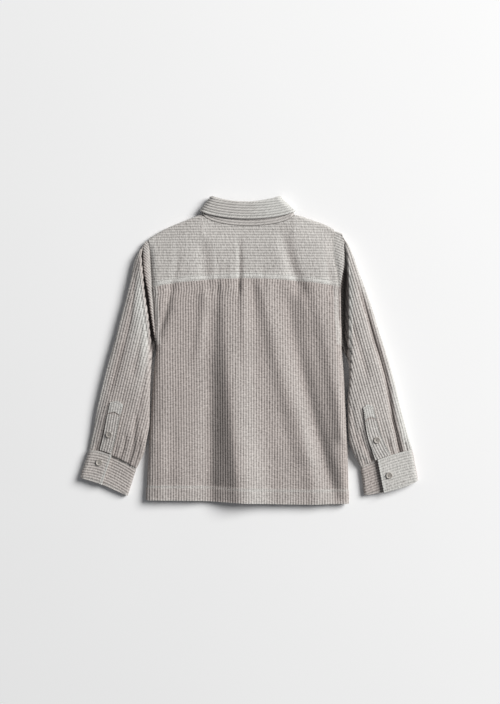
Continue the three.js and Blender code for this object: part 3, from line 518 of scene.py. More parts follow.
def corduroy():
    m, tree, shader = new_material("corduroy", 0.95)
    shader.inputs["Specular IOR Level"].default_value = 0.12
    shader.inputs["Sheen Weight"].default_value = 0.25
    shader.inputs["Sheen Roughness"].default_value = 0.6
    shader.inputs["Sheen Tint"].default_value = (0.9, 0.88, 0.85, 1)
    place = node(tree, "ShaderNodeTexCoord").outputs["Object"]
    cloth = node(tree, "ShaderNodeAttribute", attribute_name="cloth").outputs["Vector"]
    wear_light_and_shade = node(tree, "ShaderNodeAttribute", attribute_name="wear_light_and_shade").outputs["Fac"]
    on_wale = node(tree, "ShaderNodeSeparateXYZ", {"Vector": cloth}).outputs["Z"]
    tufts = noise_at(tree, cloth, (0.95, 0.36, 0.0), 2.0)
    puckers = noise_at(tree, cloth, (0.3, 0.26, 0.0), 2.0)
    nap = noise_at(tree, place, (1100.0, 1100.0, 1100.0), 2.0)
    wash = noise_at(tree, place, (17.0, 17.0, 17.0), 3.0)
    middle = tuple(0.5 * g + 0.5 * c for g, c in zip(SHADED_GROOVE, CREST))
    broken = node(tree, "ShaderNodeMath", {0: on_wale, 1: linear(tree, tufts, 0.9, -0.45)}, operation="ADD").outputs[0]
    pile = ramp(tree, broken, [(0.0, SHADED_GROOVE), (0.42, middle), (0.95, CREST)])
    pale = ramp(tree, broken, [(0.0, tuple(0.62 * c for c in WORN_AND_LIT)), (0.8, WORN_AND_LIT)])
    spots = linear(tree, tufts, 0.5, -0.25)
    # Blend to the pale colour where the pile is worn, and where painted light makes a part paler
    rubbed_and_lit = node(tree, "ShaderNodeMath", {0: wear_light_and_shade, 1: spots}, operation="ADD", use_clamp=True).outputs[0]
    blend = node(tree, "ShaderNodeMix", data_type="RGBA")
    for source, target in ((rubbed_and_lit, blend.inputs[0]), (pile, blend.inputs[6]), (pale, blend.inputs[7])):
        tree.links.new(source, target)
    shade = times(tree, linear(tree, tufts, 0.5, 0.76), linear(tree, puckers, 0.24, 0.88))
    shade = times(tree, shade, times(tree, linear(tree, wash, 0.3, 0.85), linear(tree, nap, 0.4, 0.8)))
    # Painted shade: values below zero darken the colour in creases, crevices and on slopes turned from the light
    painted_shade = node(tree, "ShaderNodeMath", {0: wear_light_and_shade, 1: 0.0}, operation="MINIMUM").outputs[0]
    shade = times(tree, shade, linear(tree, painted_shade, 1.3, 1.0))
    tree.links.new(scaled(tree, blend.outputs[2], shade), shader.inputs["Base Color"])
    normal = None
    for height, strength, distance in ((puckers, 0.8, 0.0011), (tufts, 0.8, 0.001), (nap, 0.4, 0.0003)):
        inputs = {"Strength": strength, "Distance": distance, "Height": height}
        if normal:
            inputs["Normal"] = normal
        normal = node(tree, "ShaderNodeBump", inputs).outputs["Normal"]
    tree.links.new(normal, shader.inputs["Normal"])
    return m


CORDUROY = corduroy()


def thread_material():
    m, tree, shader = new_material("thread", 0.8)
    shader.inputs["Sheen Weight"].default_value = 0.2
    place = node(tree, "ShaderNodeTexCoord").outputs["Object"]
    twist = node(tree, "ShaderNodeTexWave", {"Vector": place, "Scale": 900.0, "Distortion": 1.0}).outputs["Fac"]
    color = ramp(tree, twist, [(0.0, (0.36, 0.345, 0.325)), (1.0, (0.56, 0.54, 0.51))])
    tree.links.new(color, shader.inputs["Base Color"])
    bump = node(tree, "ShaderNodeBump", {"Strength": 0.5, "Distance": 0.0002, "Height": twist})
    tree.links.new(bump.outputs["Normal"], shader.inputs["Normal"])
    return m


def button_material():
    m, tree, shader = new_material("button", 0.42)
    place = node(tree, "ShaderNodeTexCoord").outputs["Object"]
    streak = node(tree, "ShaderNodeTexNoise", {"Vector": place, "Scale": 260.0, "Detail": 4.0, "Distortion": 1.5}).outputs["Fac"]
    color = ramp(tree, streak, [(0.3, (0.30, 0.275, 0.25)), (0.7, (0.50, 0.47, 0.43))])
    tree.links.new(color, shader.inputs["Base Color"])
    bump = node(tree, "ShaderNodeBump", {"Strength": 0.15, "Distance": 0.0002, "Height": streak})
    tree.links.new(bump.outputs["Normal"], shader.inputs["Normal"])
    return m


THREAD, BUTTON = thread_material(), button_material()


def finish_cloth(obj, node_name):
    obj.data.materials.append(CORDUROY)
    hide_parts(node_name)


# Stitches along a line of points, each a short rounded bar of thread

STITCH = {"long": 2.5, "gap": 0.9, "radius": 0.28}


def stitches(line, normal):
    line, normal = np.asarray(line), np.asarray(normal)
    far = np.concatenate([[0], np.cumsum(np.linalg.norm(np.diff(line, axis=0), axis=1))])
    pitch = STITCH["long"] + STITCH["gap"]
    points, faces = [], []
    ring = [(math.cos(a), math.sin(a)) for a in np.arange(6) * math.pi / 3]
    for start in np.arange(0.5, far[-1] - STITCH["long"], pitch):
        ends = [np.array([np.interp(s, far, line[:, k]) for k in range(3)]) for s in (start, start + STITCH["long"])]
        up = np.array([np.interp(start, far, normal[:, k]) for k in range(3)])
        along = ends[1] - ends[0]
        along /= np.linalg.norm(along)
        side = np.cross(along, up)
        side /= np.linalg.norm(side)
        up = np.cross(side, along)
        first = len(points)
        for share, size in ((0, 0.45), (0.15, 1), (0.85, 1), (1, 0.45)):
            middle = lerp(ends[0], ends[1], share) + up * (0.12 if 0 < share < 1 else -0.1)
            points += [middle + STITCH["radius"] * size * (c * side + s * up) for c, s in ring]
        for k in range(3):
            for i in range(6):
                j = (i + 1) % 6
                a = first + 6 * k
                faces.append((a + j, a + i, a + 6 + i, a + 6 + j))
        faces.append(tuple(first + i for i in range(6)))
        faces.append(tuple(first + 18 + i for i in range(5, -1, -1)))
    return points, faces


def stitch_piece(name, lines):
    points, faces = [], []
    for line, normal in lines:
        p, f = stitches(line, normal)
        faces += [tuple(i + len(points) for i in face) for face in f]
        points += p
    obj = mesh_object(name, points, faces)
    obj.data.materials.append(THREAD)
    return obj


def sample(grid, row, col):
    """Points of a grid at fractional rows and columns"""
    row, col = np.broadcast_arrays(np.asarray(row, float), np.asarray(col, float))
    r = np.clip(row.astype(int), 0, grid.shape[0] - 2)
    c = np.clip(col.astype(int), 0, grid.shape[1] - 2)
    fr, fc = (row - r)[:, None], (col - c)[:, None]
    return lerp(lerp(grid[r, c], grid[r, c + 1], fc), lerp(grid[r + 1, c], grid[r + 1, c + 1], fc), fr)


# Back panel


def make_back():
    rows, cols = 156, 540
    lines = []
    for v in np.linspace(0, 1, rows):
        left = left_seam(lerp(yoke_seam(-172), hem(-184), v))
        right = right_seam(lerp(yoke_seam(159), hem(178), v))
        turn = EDGE_ROLL * (1 - np.cos(np.arange(12) * math.pi / 24))
        d = np.concatenate([turn, np.linspace(EDGE_ROLL, right - left - EDGE_ROLL, 260), (right - left - turn)[::-1]])
        x = left + d
        y = lerp(yoke_seam(x) - SEAM_GAP, hem(x), v)
        lines.append(respace(np.stack([x, y, back_height(x, y)], 1), np.linspace(0, 1, cols)))
    base = np.array(lines)
    far = along_rows(base)
    middle = np.array([np.interp(-6, base[i, :, 0], far[i]) for i in range(rows)])
    phase = (far - middle[:, None]) / PITCH
    along = along_columns(base)
    height = wale(phase)
    from_hem = base[..., 1] - hem(base[..., 0])
    hemmed = HEM_RISE * (1 - smooth((from_hem - HEM_DEPTH + 1.5) / 2.5))
    line = np.exp(-(((from_hem - HEM_DEPTH + 2.5) / 1.6) ** 2))
    near = from_armhole(base[..., 0], base[..., 1])
    band = 1 - smooth((near - 7) / 2)
    relief = RISE * height * (1 - 0.55 * line) + hemmed - 0.25 * line + 0.5 * band
    folds = folds_at(FOLDS, base[..., 0], base[..., 1]) + folds_at(CREASES, base[..., 0], base[..., 1])
    # Paler on fold ridges, partly worn pile and partly painted light; darker in fold troughs: painted shade
    wear_light_and_shade = 0.4 * band + 0.5 * line + 0.1 * np.clip(folds, -3, 5) / 5 + 0.25 * np.exp(-((from_hem / 2) ** 2))
    # Painted shade on slopes turned from the light, kept off the edges and stronger lower down
    inside = smooth((near - 10) / 8) * smooth((np.minimum(far, far[:, -1:] - far) - 12) / 12)
    lower = lerp(0.4, 1.15, smooth((110 - base[..., 1]) / 240))
    wear_light_and_shade = wear_light_and_shade + 0.14 * (1 - smooth((from_hem - HEM_DEPTH) / 2)) + painted_slope_shade(base) * inside * lower
    obj, outer, normal = shell(
        "back_panel", base, relief, cloth_of(phase, along, height), turn=-1, stride=(6, 9), wear_light_and_shade=wear_light_and_shade
    )
    finish_cloth(obj, "back")
    flat = base + normal * 0.75
    cols_at = np.linspace(6, cols - 7, 320)

    def level(distance):
        rows_at = []
        for c in cols_at:
            column = from_hem[:, int(c)]
            rows_at.append(np.interp(-distance, -column, np.arange(rows)))
        return sample(flat + normal * HEM_RISE * 0.8, np.array(rows_at), cols_at), sample(normal, np.array(rows_at), cols_at)

    return stitch_piece("hem_stitching", [level(HEM_DEPTH - 3.6), level(HEM_DEPTH - 1.2)])


make_back()


# Yoke: the upper face from the yoke seam to the neck and round the shoulder fold, and the strip that
# goes on down the front

YOKE_BAND = 11


def yoke_column(u, share_lines):
    def across(y):
        return lerp(left_seam(y), right_seam(y), u)

    fold = 240.0
    for _ in range(8):
        fold = float(shoulder(across(fold)))
    x_fold = float(across(fold))
    beyond = abs(x_fold - NECK["x"]) - NECK["half"]
    under = float(front_lift(x_fold, fold - FRONT_YOKE))
    top = float(fold_height(x_fold))
    radius = (top - under) / 2
    turned = math.pi / 2 * float(smooth((beyond + 1) / 5))
    seam = 120.0
    for _ in range(8):
        seam = float(yoke_seam(across(seam)))
    end = lerp(float(neck_curve(x_fold)) - SEAM_GAP, fold - radius, float(smooth((beyond + 3) / 5)))
    y = np.linspace(seam - 1.6, end, 90)
    x = across(y)
    line = np.stack([x, y, back_height(x, y)], 1)
    crest = line[-1, 2]
    angles = np.linspace(0, turned, 8)[1:]
    arc = np.stack([
        np.full(7, x_fold), end + radius * np.sin(angles), lerp(under, crest, 0.5 + 0.5 * np.cos(angles)),
    ], 1)
    upper = np.concatenate([line, arc]) if turned > 0.01 else line
    angles = np.linspace(math.pi / 2, math.pi, 8)
    arc = np.stack([
        np.full(8, x_fold), fold - radius + radius * np.sin(angles), lerp(under, crest, 0.5 + 0.5 * np.cos(angles)),
    ], 1)
    down = np.linspace(0, FRONT_YOKE - radius, 10)[1:]
    front = np.stack([across(fold - down), fold - radius - down, np.full(9, under)], 1)
    return respace(upper, share_lines[0]), respace(np.concatenate([arc, front]), share_lines[1])


def make_yoke():
    cols = 190
    shares = (np.linspace(0, 1, 230), np.linspace(0, 1, 30))
    turn = 0.06 * (1 - np.cos(np.arange(14) * math.pi / 28))
    us = np.concatenate([turn, np.linspace(0.06, 0.94, cols - 28), (1 - turn)[::-1]])
    columns = [yoke_column(u, shares) for u in us]
    base = np.array([c[0] for c in columns])
    far = along_rows(base)
    seam_y = base[:, :1, 1]
    phase = (far + seam_y - 108) / PITCH
    height = wale(phase)
    along = along_columns(base)
    from_seam = far
    band = 1 - smooth((from_seam - YOKE_BAND + 1.5) / 2.5)
    band = band * smooth(from_seam / 0.8)
    line = np.exp(-(((from_seam - YOKE_BAND + 2) / 1.4) ** 2)) + 0.7 * np.exp(-(((from_seam - 2.2) / 1.2) ** 2))
    near = from_armhole(base[..., 0], base[..., 1])
    side = 1 - smooth((near - 8) / 2)
    relief = 0.7 * RISE * height * (1 - 0.5 * line - 0.5 * band) + 0.8 * np.maximum(band, 0.25 * side) - 0.25 * line
    folds = folds_at(FOLDS, base[..., 0], base[..., 1])
    # Paler on fold ridges, partly worn pile and partly painted light; darker in fold troughs and on slopes turned from
    # the light: painted shade
    wear_light_and_shade = 0.58 + 0.25 * np.maximum(band, 0.4 * side) + 0.12 * np.clip(folds, -3, 3) / 3
    wear_light_and_shade = wear_light_and_shade + painted_slope_shade(base.transpose(1, 0, 2)).T * smooth((near - 10) / 8)
    obj, outer, normal = shell(
        "yoke_back", base, relief, cloth_of(phase, along, clamp(height + 0.25 * band)), turn=-1, stride=(5, 8), wear_light_and_shade=wear_light_and_shade
    )
    finish_cloth(obj, "yoke")
    for side, keep in (("left", lambda x: x < NECK["x"] - NECK["half"] + 1), ("right", lambda x: x > NECK["x"] + NECK["half"] - 1)):
        part = np.array([c[1] for c in columns if keep(c[1][0, 0])])
        far = along_rows(part)
        phase = far / PITCH
        flat = cloth_of(phase, along_columns(part), wale(phase))
        strip, _, _ = shell(f"yoke_front_{side}", part, np.zeros(part.shape[:2]), flat, turn=-1, stride=(4, 4))
        finish_cloth(strip, "yoke")
    rise = base + normal * 1.25
    lines = []
    for distance in (2.2, YOKE_BAND - 2):
        cols_at = np.array([np.interp(distance, far_row, np.arange(base.shape[1])) for far_row in from_seam])
        rows_at = np.arange(base.shape[0], dtype=float)
        lines.append((sample(rise, rows_at[3:-3], cols_at[3:-3]), sample(normal, rows_at[3:-3], cols_at[3:-3])))
    stitch_piece("yoke_stitching", lines)


make_yoke()


# Fronts, hidden underneath


def make_front(side):
    sign = SIGN[side]
    edge_of = left_edge if side == "left" else right_edge
    inner = NECK["x"] - sign * FRONT_LAP / 2
    over = GROUND + SEAM_GAP if side == "right" else 0
    rows, cols = 110, 90
    lines = []
    for v in np.linspace(0, 1, rows):
        shares = np.linspace(0, 1, 120)
        x0 = edge_of(lerp(-272, 200, v)) - 1.25 * sign * SEAM_GAP
        x = lerp(x0, inner, 1 - (1 - shares) ** 1.0)
        top = shoulder(x) - FRONT_YOKE - SEAM_GAP
        share = np.clip((x - NECK["x"]) / (NECK["half"] + 4 * SEAM_GAP), -1, 1)
        neck = NECK["y"] - (NECK["front"] + SEAM_GAP) * np.sqrt(1 - share * share)
        top = np.minimum(top, np.where(np.abs(x - NECK["x"]) < NECK["half"] + 4 * SEAM_GAP, neck, top))
        y = lerp(hem(x) + 1.5, top, v)
        outer_x = edge_of(y) - 1.25 * sign * SEAM_GAP
        x = x + (outer_x - x0) * (1 - shares)
        d = np.abs(x - outer_x)
        seam = SIDE_SEAM_HEIGHT - 2 * SEAM_GAP
        curl = seam * (1 - smooth((y - UNDERARM + 14) / 12))
        lapped = over * (1 - smooth((np.abs(x - NECK["x"]) - 30) / 22))
        z = curl * (1 - over_edge(d)) + front_lift(x, y) + lapped
        lines.append(respace(np.stack([x, y, z], 1), np.linspace(0, 1, cols) ** 1.3))
    base = np.array(lines)
    phase = base[..., 0] / PITCH
    flat = cloth_of(phase, along_columns(base), wale(phase))
    obj, _, _ = shell(f"front_panel_{side}", base, np.zeros(base.shape[:2]), flat, turn=sign, stride=(6, 6))
    finish_cloth(obj, f"front_{side}")


for side in SIGN:
    make_front(side)


# Sleeves


LAST_ROW = 13


def sleeve_crease(side, row, share):
    """How deep the sleeve's creases are"""
    creased = np.zeros_like(share)
    for i in range(len(SLEEVE_FOLDS[side]["deep"])):
        f = {name: values[i] for name, values in SLEEVE_FOLDS[side].items()}
        at_row = np.interp(row, [f["from_row"], f["mid_row"], f["to_row"]], [f["start"], f["mid"], f["end"]])
        down = (row - f["from_row"]) / (f["to_row"] - f["from_row"])
        fade = smooth(4 * down) * smooth(5 * (1 - down) if f["to_row"] < LAST_ROW else 1)
        creased = creased + f["deep"] * np.exp(-(((share - at_row) / f["wide"]) ** 2)) * fade
    return creased


def sleeve_points(side, row, share, upper):
    rings = SLEEVES[side]
    ring = {name: float(through(rings, "at", name)(row)) for name in rings}
    sign = SIGN[side]
    along = np.array([ring["x_in"] - ring["x_out"], ring["y_in"] - ring["y_out"]])
    out = np.array([-sign * along[1], sign * along[0]]) / np.linalg.norm(along)
    skewed = share ** ring["lean"]
    bow = 4 * ring["bow"] * skewed * (1 - skewed)
    x = ring["x_out"] + along[0] * share + out[0] * bow
    y = ring["y_out"] + along[1] * share + out[1] * bow
    edge = (left_edge if side == "left" else right_edge)(y) + 2 * sign * SEAM_GAP
    x = x + ring["hug"] * (edge - lerp(ring["x_out"], ring["x_in"], share))
    x = x + ring["pull"] * smooth((share - 0.25) / 0.35) * (edge - x)
    start = lerp(CREVICE_START[side], 0.16, float(smooth(row - 3)))
    high = lerp(ring["ends"], ring["height"], smooth(np.minimum(share / start, (1 - share) / 0.16)))
    half = np.maximum(high, CREVICE_FLOOR) / 2
    puff = (1 - np.abs(2 * share - 1) ** SLEEVE_PUFF) ** (1 / SLEEVE_PUFF)
    creased = sleeve_crease(side, row, share)
    tilted = 1 - SLEEVE_TILT[side] * clamp((0.7 - share) / 0.7) ** 2 * smooth((row - 3.5) / 2)
    z = half + half * puff * tilted - creased * puff if upper else half - half * puff
    return np.stack([x, y, z], 1)


GRAIN = {"left": (-82.6, -339.2), "right": (96.5, -338)}


# Base paleness of each sleeve; the right one is paler because it faces the light: painted light
SLEEVE_TONE_AND_LIGHT = {"left": 0.12, "right": 0.38}
# The darkest the painted shade may go
DARKEST = -0.6
STRIP_WEAR = {"left": 0.3, "right": 0.28}
STRIP_SLANT = {"left": 0.9, "right": 0.45}
LIP_HIGHLIGHT = {"left": (4.6, 3, 0.85), "right": (4, 1.1, 0.5)}  # painted highlight on the raised rim beside the crevice: row, rows across, and how pale
CREVICE_SHADE = {"left": (2, 1, 1.2), "right": (1.9, 0.55, 1.0)}  # painted shade in the crevice beside the body: row, rows across, and how dark


def make_sleeve(side):
    upper_count, lower_count = 250, 44
    at_rows = np.concatenate([np.linspace(0, 4, 80)[:-1], np.linspace(4, 5, 12)[:-1], np.linspace(5, 12, 90)[:-1], np.linspace(12, LAST_ROW, 30)])
    dense = (1 - np.cos(np.linspace(0, math.pi, 200))) / 2
    rings, mids = [], []
    for row in at_rows:
        up = respace(sleeve_points(side, row, dense, True), np.linspace(0, 1, upper_count + 1))[:-1]
        low = respace(sleeve_points(side, row, dense[::-1], False), np.linspace(0, 1, lower_count + 1))[:-1]
        rings.append(np.concatenate([up, low]))
    rings = np.array(rings)
    shape = CUFFS[side]
    middle = rings[-1].mean(0)
    down = np.array([
        (shape["x_out"] + shape["x_in"]) / 2 - middle[0], (shape["y_out"] + shape["y_in"]) / 2 - middle[1],
    ])
    down /= np.linalg.norm(down)
    tucked = []
    for step in np.linspace(0, 1, 9)[1:]:
        ring = rings[-1].copy()
        ring[:, :2] = lerp(ring[:, :2], middle[:2], 0.035 * step) + down * 4 * step
        ring[:, 2] = lerp(ring[:, 2], 1.2 + 0.5 * ring[:, 2], smooth(step))
        tucked.append(ring)
    base = np.concatenate([rings, np.array(tucked)])
    at_rows = np.concatenate([at_rows, LAST_ROW + 0.12 * np.linspace(0, 1, 9)[1:]])
    grain = np.array(GRAIN[side]) / np.linalg.norm(GRAIN[side])
    cross = np.array([-grain[1], grain[0]])
    far = along_rows(base)
    half = upper_count // 2
    ringwise = base[:, upper_count, :2] - base[:, 0, :2]
    ringwise /= np.linalg.norm(ringwise, axis=1, keepdims=True)
    q = base[:, half, :2] @ cross
    lean = ringwise @ cross
    phase = (q[:, None] + (far - far[:, half : half + 1]) * lean[:, None]) / PITCH
    along = base[..., :2] @ grain
    strip = (at_rows < 2)[:, None]
    slant = STRIP_SLANT[side]
    seam_x = BODY[side][0]
    phase = np.where(strip, (base[..., 1] - 108 + slant * (base[..., 0] - seam_x)) / PITCH, phase)
    along = np.where(strip, base[..., 0] - slant * base[..., 1], along)
    height = wale(phase)
    on_top = np.arange(base.shape[1]) < upper_count
    begin = smooth((at_rows / 0.6))[:, None] * smooth((LAST_ROW + 0.1 - at_rows) / 0.1)[:, None]
    relief = RISE * height * begin * on_top[None, :]
    share = np.where(on_top, np.arange(base.shape[1]) / upper_count, 0)
    x, y = base[..., 0], base[..., 1]
    uneven = 0.45 * np.sin(x / 13 + y / 31 + 0.7) * np.sin(y / 19 - x / 37) + 0.3 * np.sin(x / 7 - y / 17)
    uneven = uneven * (1 + 1.6 * smooth((at_rows - 10.8) / 1.6))[:, None]
    relief = relief + uneven * (smooth(share / 0.1) * smooth((1 - share) / 0.1) * on_top)[None, :] * begin
    inner_end = smooth((share - 0.8) / 0.12)[None, :]
    # Painted highlight along the raised rim beside the crevice
    lip_highlight = np.exp(-(((at_rows - LIP_HIGHLIGHT[side][0]) / LIP_HIGHLIGHT[side][1]) ** 2))[:, None] * (1 - smooth((share - 0.7) / 0.25))
    lip_highlight = lip_highlight * smooth((share - 0.05) / 0.3)[None, :]
    # Painted shade in the crevice between sleeve and body, and at the sleeve's inner end by the armhole
    deep = np.exp(-(((at_rows - CREVICE_SHADE[side][0]) / CREVICE_SHADE[side][1]) ** 2))[:, None]
    deep = deep * smooth((share - CREVICE_START[side] + 0.04) / 0.1)[None, :]
    deep = np.maximum(deep, 0.6 * inner_end * (1 - smooth((at_rows - 3) / 1))[:, None])
    # Crease depth, which also darkens the colour along the creases: painted shade
    creases = np.array([sleeve_crease(side, row, share) for row in at_rows])
    # Painted light on the right sleeve's outer strip, which faces the light, and a little on the left
    outer_strip_light = smooth((0.16 - share) / 0.04)[None, :] * smooth((at_rows - 8.5) / 2)[:, None]
    wear_light_and_shade = SLEEVE_TONE_AND_LIGHT[side] + LIP_HIGHLIGHT[side][2] * lip_highlight + STRIP_WEAR[side] * (1 - smooth((at_rows - 0.9) / 0.4))[:, None]
    # Painted light along the outer edge of the upper face, which rolls from the light
    wear_light_and_shade = wear_light_and_shade + 0.4 * ((1 - smooth(share / 0.12)) * on_top)[None, :] * smooth(at_rows - 3)[:, None]
    # Painted shade in the crevice and along the creases
    wear_light_and_shade = wear_light_and_shade - (CREVICE_SHADE[side][2] + np.maximum(wear_light_and_shade, 0)) * deep - 0.13 * creases
    wear_light_and_shade = np.maximum(wear_light_and_shade + (0.4 if side == "right" else 0.1) * outer_strip_light, DARKEST)
    turn = -1 if side == "left" else 1
    obj, outer, normal = shell(f"sleeve_{side}_cloth", base, relief, cloth_of(phase, along, height), turn=turn, closed=True, stride=(5, 7), wear_light_and_shade=wear_light_and_shade)
    finish_cloth(obj, f"sleeve_{side}")
    return base, normal


sleeves = {side: make_sleeve(side) for side in SIGN}


# Plackets


def make_placket(side):
    strip = PLACKETS[side]
    rows, cols = 90, 44
    us = np.linspace(0, 1, cols)
    peak = PLACKET_PEAK * (1 - np.abs(2 * us - 1))
    high = lerp(strip["rows"][0], strip["rows"][1], us) - peak
    base = np.zeros((rows, cols, 3))
    for r, v in enumerate(np.linspace(0, 1, rows)):
        for c, u in enumerate(us):
            row = lerp(LAST_ROW - 0.05, high[c], v)
            share = lerp(lerp(strip["low"][0], strip["high"][0], v), lerp(strip["low"][1], strip["high"][1], v), u)
            base[r, c] = sleeve_points(side, row, np.array([share]), True)[0]
    turn = 1 if side == "left" else -1
    normal = normals_of(base, False, turn)
    base = base + normal * (LAID_GAP + DOUBLE + 0.5)
    across = along_rows(base)
    wide = across[:, -1:]
    phase = across / PITCH + 0.5
    height = wale(phase)
    edge = np.exp(-(((np.minimum(across, wide - across) - 2) / 1.1) ** 2))
    up = np.linspace(0, 1, rows)[:, None]
    bar = np.exp(-(((up - 0.79) / 0.012) ** 2))
    edge = np.maximum(edge, 0.8 * np.exp(-(((up - 0.965) / 0.012) ** 2)))
    relief = RISE * height * (1 - 0.6 * edge) * (1 - 0.4 * smooth((up - 0.79) / 0.02)) - 0.2 * edge - 0.7 * bar
    # Paler above the bar, and a dark line in the bar's groove: painted shade
    edge = edge + 0.5 * smooth((up - 0.8) / 0.02) - 1.6 * bar
    # The right placket is paler because it faces the light: painted light; its pale edges are worn
    obj, outer, normal = shell(f"placket_{side}_cloth", base, relief, cloth_of(phase, along_columns(base), height), turn=turn, thick=DOUBLE - 0.6, stride=(6, 6), wear_light_and_shade={"left": 0.42, "right": 0.62}[side] + 0.55 * edge)
    finish_cloth(obj, f"placket_{side}")
    rise = base + normal * 0.8
    lines = []
    for share in (0.09, 0.91):
        rows_at = np.linspace(3, rows - 4, 60)
        cols_at = np.full(60, share * (cols - 1))
        lines.append((sample(rise, rows_at, cols_at), sample(normal, rows_at, cols_at)))
    for row in (rows - 4, 0.8 * rows):
        cols_at = np.linspace(0.09, 0.91, 24) * (cols - 1)
        lines.append((sample(rise, np.full(24, row), cols_at), sample(normal, np.full(24, row), cols_at)))
    stitch_piece(f"placket_stitching_{side}", lines)


for side in SIGN:
    make_placket(side)


# Cuffs


def cuff_place(side, across, v):
    shape, rings, sign = CUFFS[side], SLEEVES[side], SIGN[side]
    seam = {name: values[-1] for name, values in rings.items()}
    down = np.array([shape["x_out"] - seam["x_out"], shape["y_out"] - seam["y_out"]])
    down = down / np.linalg.norm(down) * 2 * SEAM_GAP
    outer = lerp(np.array([seam["x_out"], seam["y_out"]]) + down, np.array([shape["x_out"], shape["y_out"]]), v)
    inner = lerp(np.array([seam["x_in"], seam["y_in"]]) + down, np.array([shape["x_in"], shape["y_in"]]), v)
    along = inner - outer
    width = np.linalg.norm(along)
    share = across / width
    out = np.array([-sign * along[1], sign * along[0]]) / width
    skewed = clamp(share) ** 0.8
    bow = lerp(seam["bow"], shape["bow"], v) * 4 * skewed * (1 - skewed)
    return outer[None] + along[None] * share[:, None] + out[None] * bow[:, None], width


def cuff_line(side, v):
    shape = CUFFS[side]
    _, width = cuff_place(side, np.zeros(1), v)
    big, small = CUFF_UPPER / 2, CUFF_LOWER / 2
    upper = np.linspace(shape["lap"], big, 40)
    turn = np.linspace(0, math.pi, 16)[1:-1]
    floor = np.linspace(big, width - small, 40)
    under = np.linspace(width - small, shape["lap"] - UNDER_LAP, 40)
    across = np.concatenate([upper, big * (1 - np.sin(turn)), floor, width - small * (1 - np.sin(turn)), under])
    z = np.concatenate([
        CUFF_UPPER + shape["lift"] * smooth(upper / shape["lap"]),
        big * (1 + np.cos(turn)), np.zeros(40), small * (1 - np.cos(turn)), np.full(40, CUFF_LOWER),
    ])
    xy, _ = cuff_place(side, across, v)
    return np.concatenate([xy, z[:, None]], 1)


CUFF_WEAR_AND_LIGHT = {"left": (0.3, 0.2), "right": (0.8, 0.05)}  # of the upper layer and the lower one; the right cuff's much paler upper layer is painted light, as it faces the light


def make_cuff(side):
    rows, cols = 84, 230
    base = np.array([respace(cuff_line(side, v), np.linspace(0, 1, cols)) for v in np.linspace(0, 1, rows)])
    down = along_columns(base)
    phase = down / PITCH
    height = wale(phase)
    far = along_rows(base)
    rim = np.minimum(down, down[-1:] - down)
    edge = np.exp(-(((rim - 2.6) / 1.2) ** 2)) + np.exp(-(((far - 2.6) / 1.2) ** 2))
    top = smooth((base[..., 2] - 3) / 4)
    lap_edge = np.exp(-(((far - 1.2) / 1.6) ** 2))
    relief = top * (RISE * height * (1 - 0.6 * clamp(edge)) * (1 - lap_edge) - 0.2 * edge + 1.3 * lap_edge)
    turn = -1 if side == "left" else 1
    obj, outer, normal = shell(f"cuff_{side}_cloth", base, relief, cloth_of(phase, far, height), turn=-turn, thick=DOUBLE, stride=(7, 6), wear_light_and_shade=np.where(base[..., 2] > CUFF_LOWER + 1.2, *CUFF_WEAR_AND_LIGHT[side]) + 0.5 * clamp(edge) + lap_edge)
    finish_cloth(obj, f"cuff_{side}")
    rise = base + normal * 0.75
    lines = []
    for row in (4.2, rows - 5.2):
        cols_at = np.linspace(3, cols - 4, 240)
        line, up = sample(rise, np.full(240, row), cols_at), sample(normal, np.full(240, row), cols_at)
        shown = line[:, 2] > 6
        lines.append((line[shown & (np.arange(240) < 120)], up[shown & (np.arange(240) < 120)]))
        lines.append((line[shown & (np.arange(240) >= 120)], up[shown & (np.arange(240) >= 120)]))
    rows_at = np.linspace(4, rows - 5, 40)
    lines.append((sample(rise, rows_at, np.full(40, 2.3)), sample(normal, rows_at, np.full(40, 2.3))))
    stitch_piece(f"cuff_stitching_{side}", lines)


for side in SIGN:
    make_cuff(side)


# Collar


def mix(a, b, t):
    return {name: lerp(a[name], b[name], t) for name in a}


def collar_line(ring, angles):
    facing = np.cos(angles)
    sag = np.where(
        facing > 0,
        ring["back"] * np.abs(facing) ** ring["back_ease"],
        ring["front"] * np.abs(facing) ** ring["front_ease"],
    )
    middle, half = (ring["top"] + ring["bottom"]) / 2, (ring["top"] - ring["bottom"]) / 2
    inward = ring["half"] * (1 - np.abs(np.sin(angles)))
    round_ = np.sqrt(1 - (1 - clamp(inward / half)) ** 2)
    return np.stack([
        ring["x"] + ring["half"] * np.sin(angles), ring["y"] - sag, middle + np.sign(facing) * half * round_,
    ], 1)


def eased(count):
    t = np.linspace(-1, 1, count)
    return t + 0.09 * np.sin(2 * math.pi * t)


def make_stand():
    heights = {"top": NECK_HEIGHT, "bottom": COLLAR_UNDER}
    low = {**COLLAR["neck"], **heights}
    high = mix(low, {**COLLAR["roll"], **heights}, 0.93)
    angles = eased(240) * (math.pi + 0.14)
    base = np.array([collar_line(mix(low, high, u), angles) for u in np.linspace(0, 1, 56)])
    base[..., 2] += np.where(angles > math.pi / 2, 3 * smooth((angles - math.pi + 0.6) / 0.35), 0)
    up = along_columns(base)
    phase = up / PITCH
    height = wale(phase)
    shown = smooth((base[..., 2] - 9) / 2)
    obj, _, _ = shell("collar_stand_cloth", base, RISE * height * shown, cloth_of(phase, along_rows(base), height), turn=1, thick=DOUBLE, stride=(6, 6), wear_light_and_shade=0.5)
    finish_cloth(obj, "collar_stand")


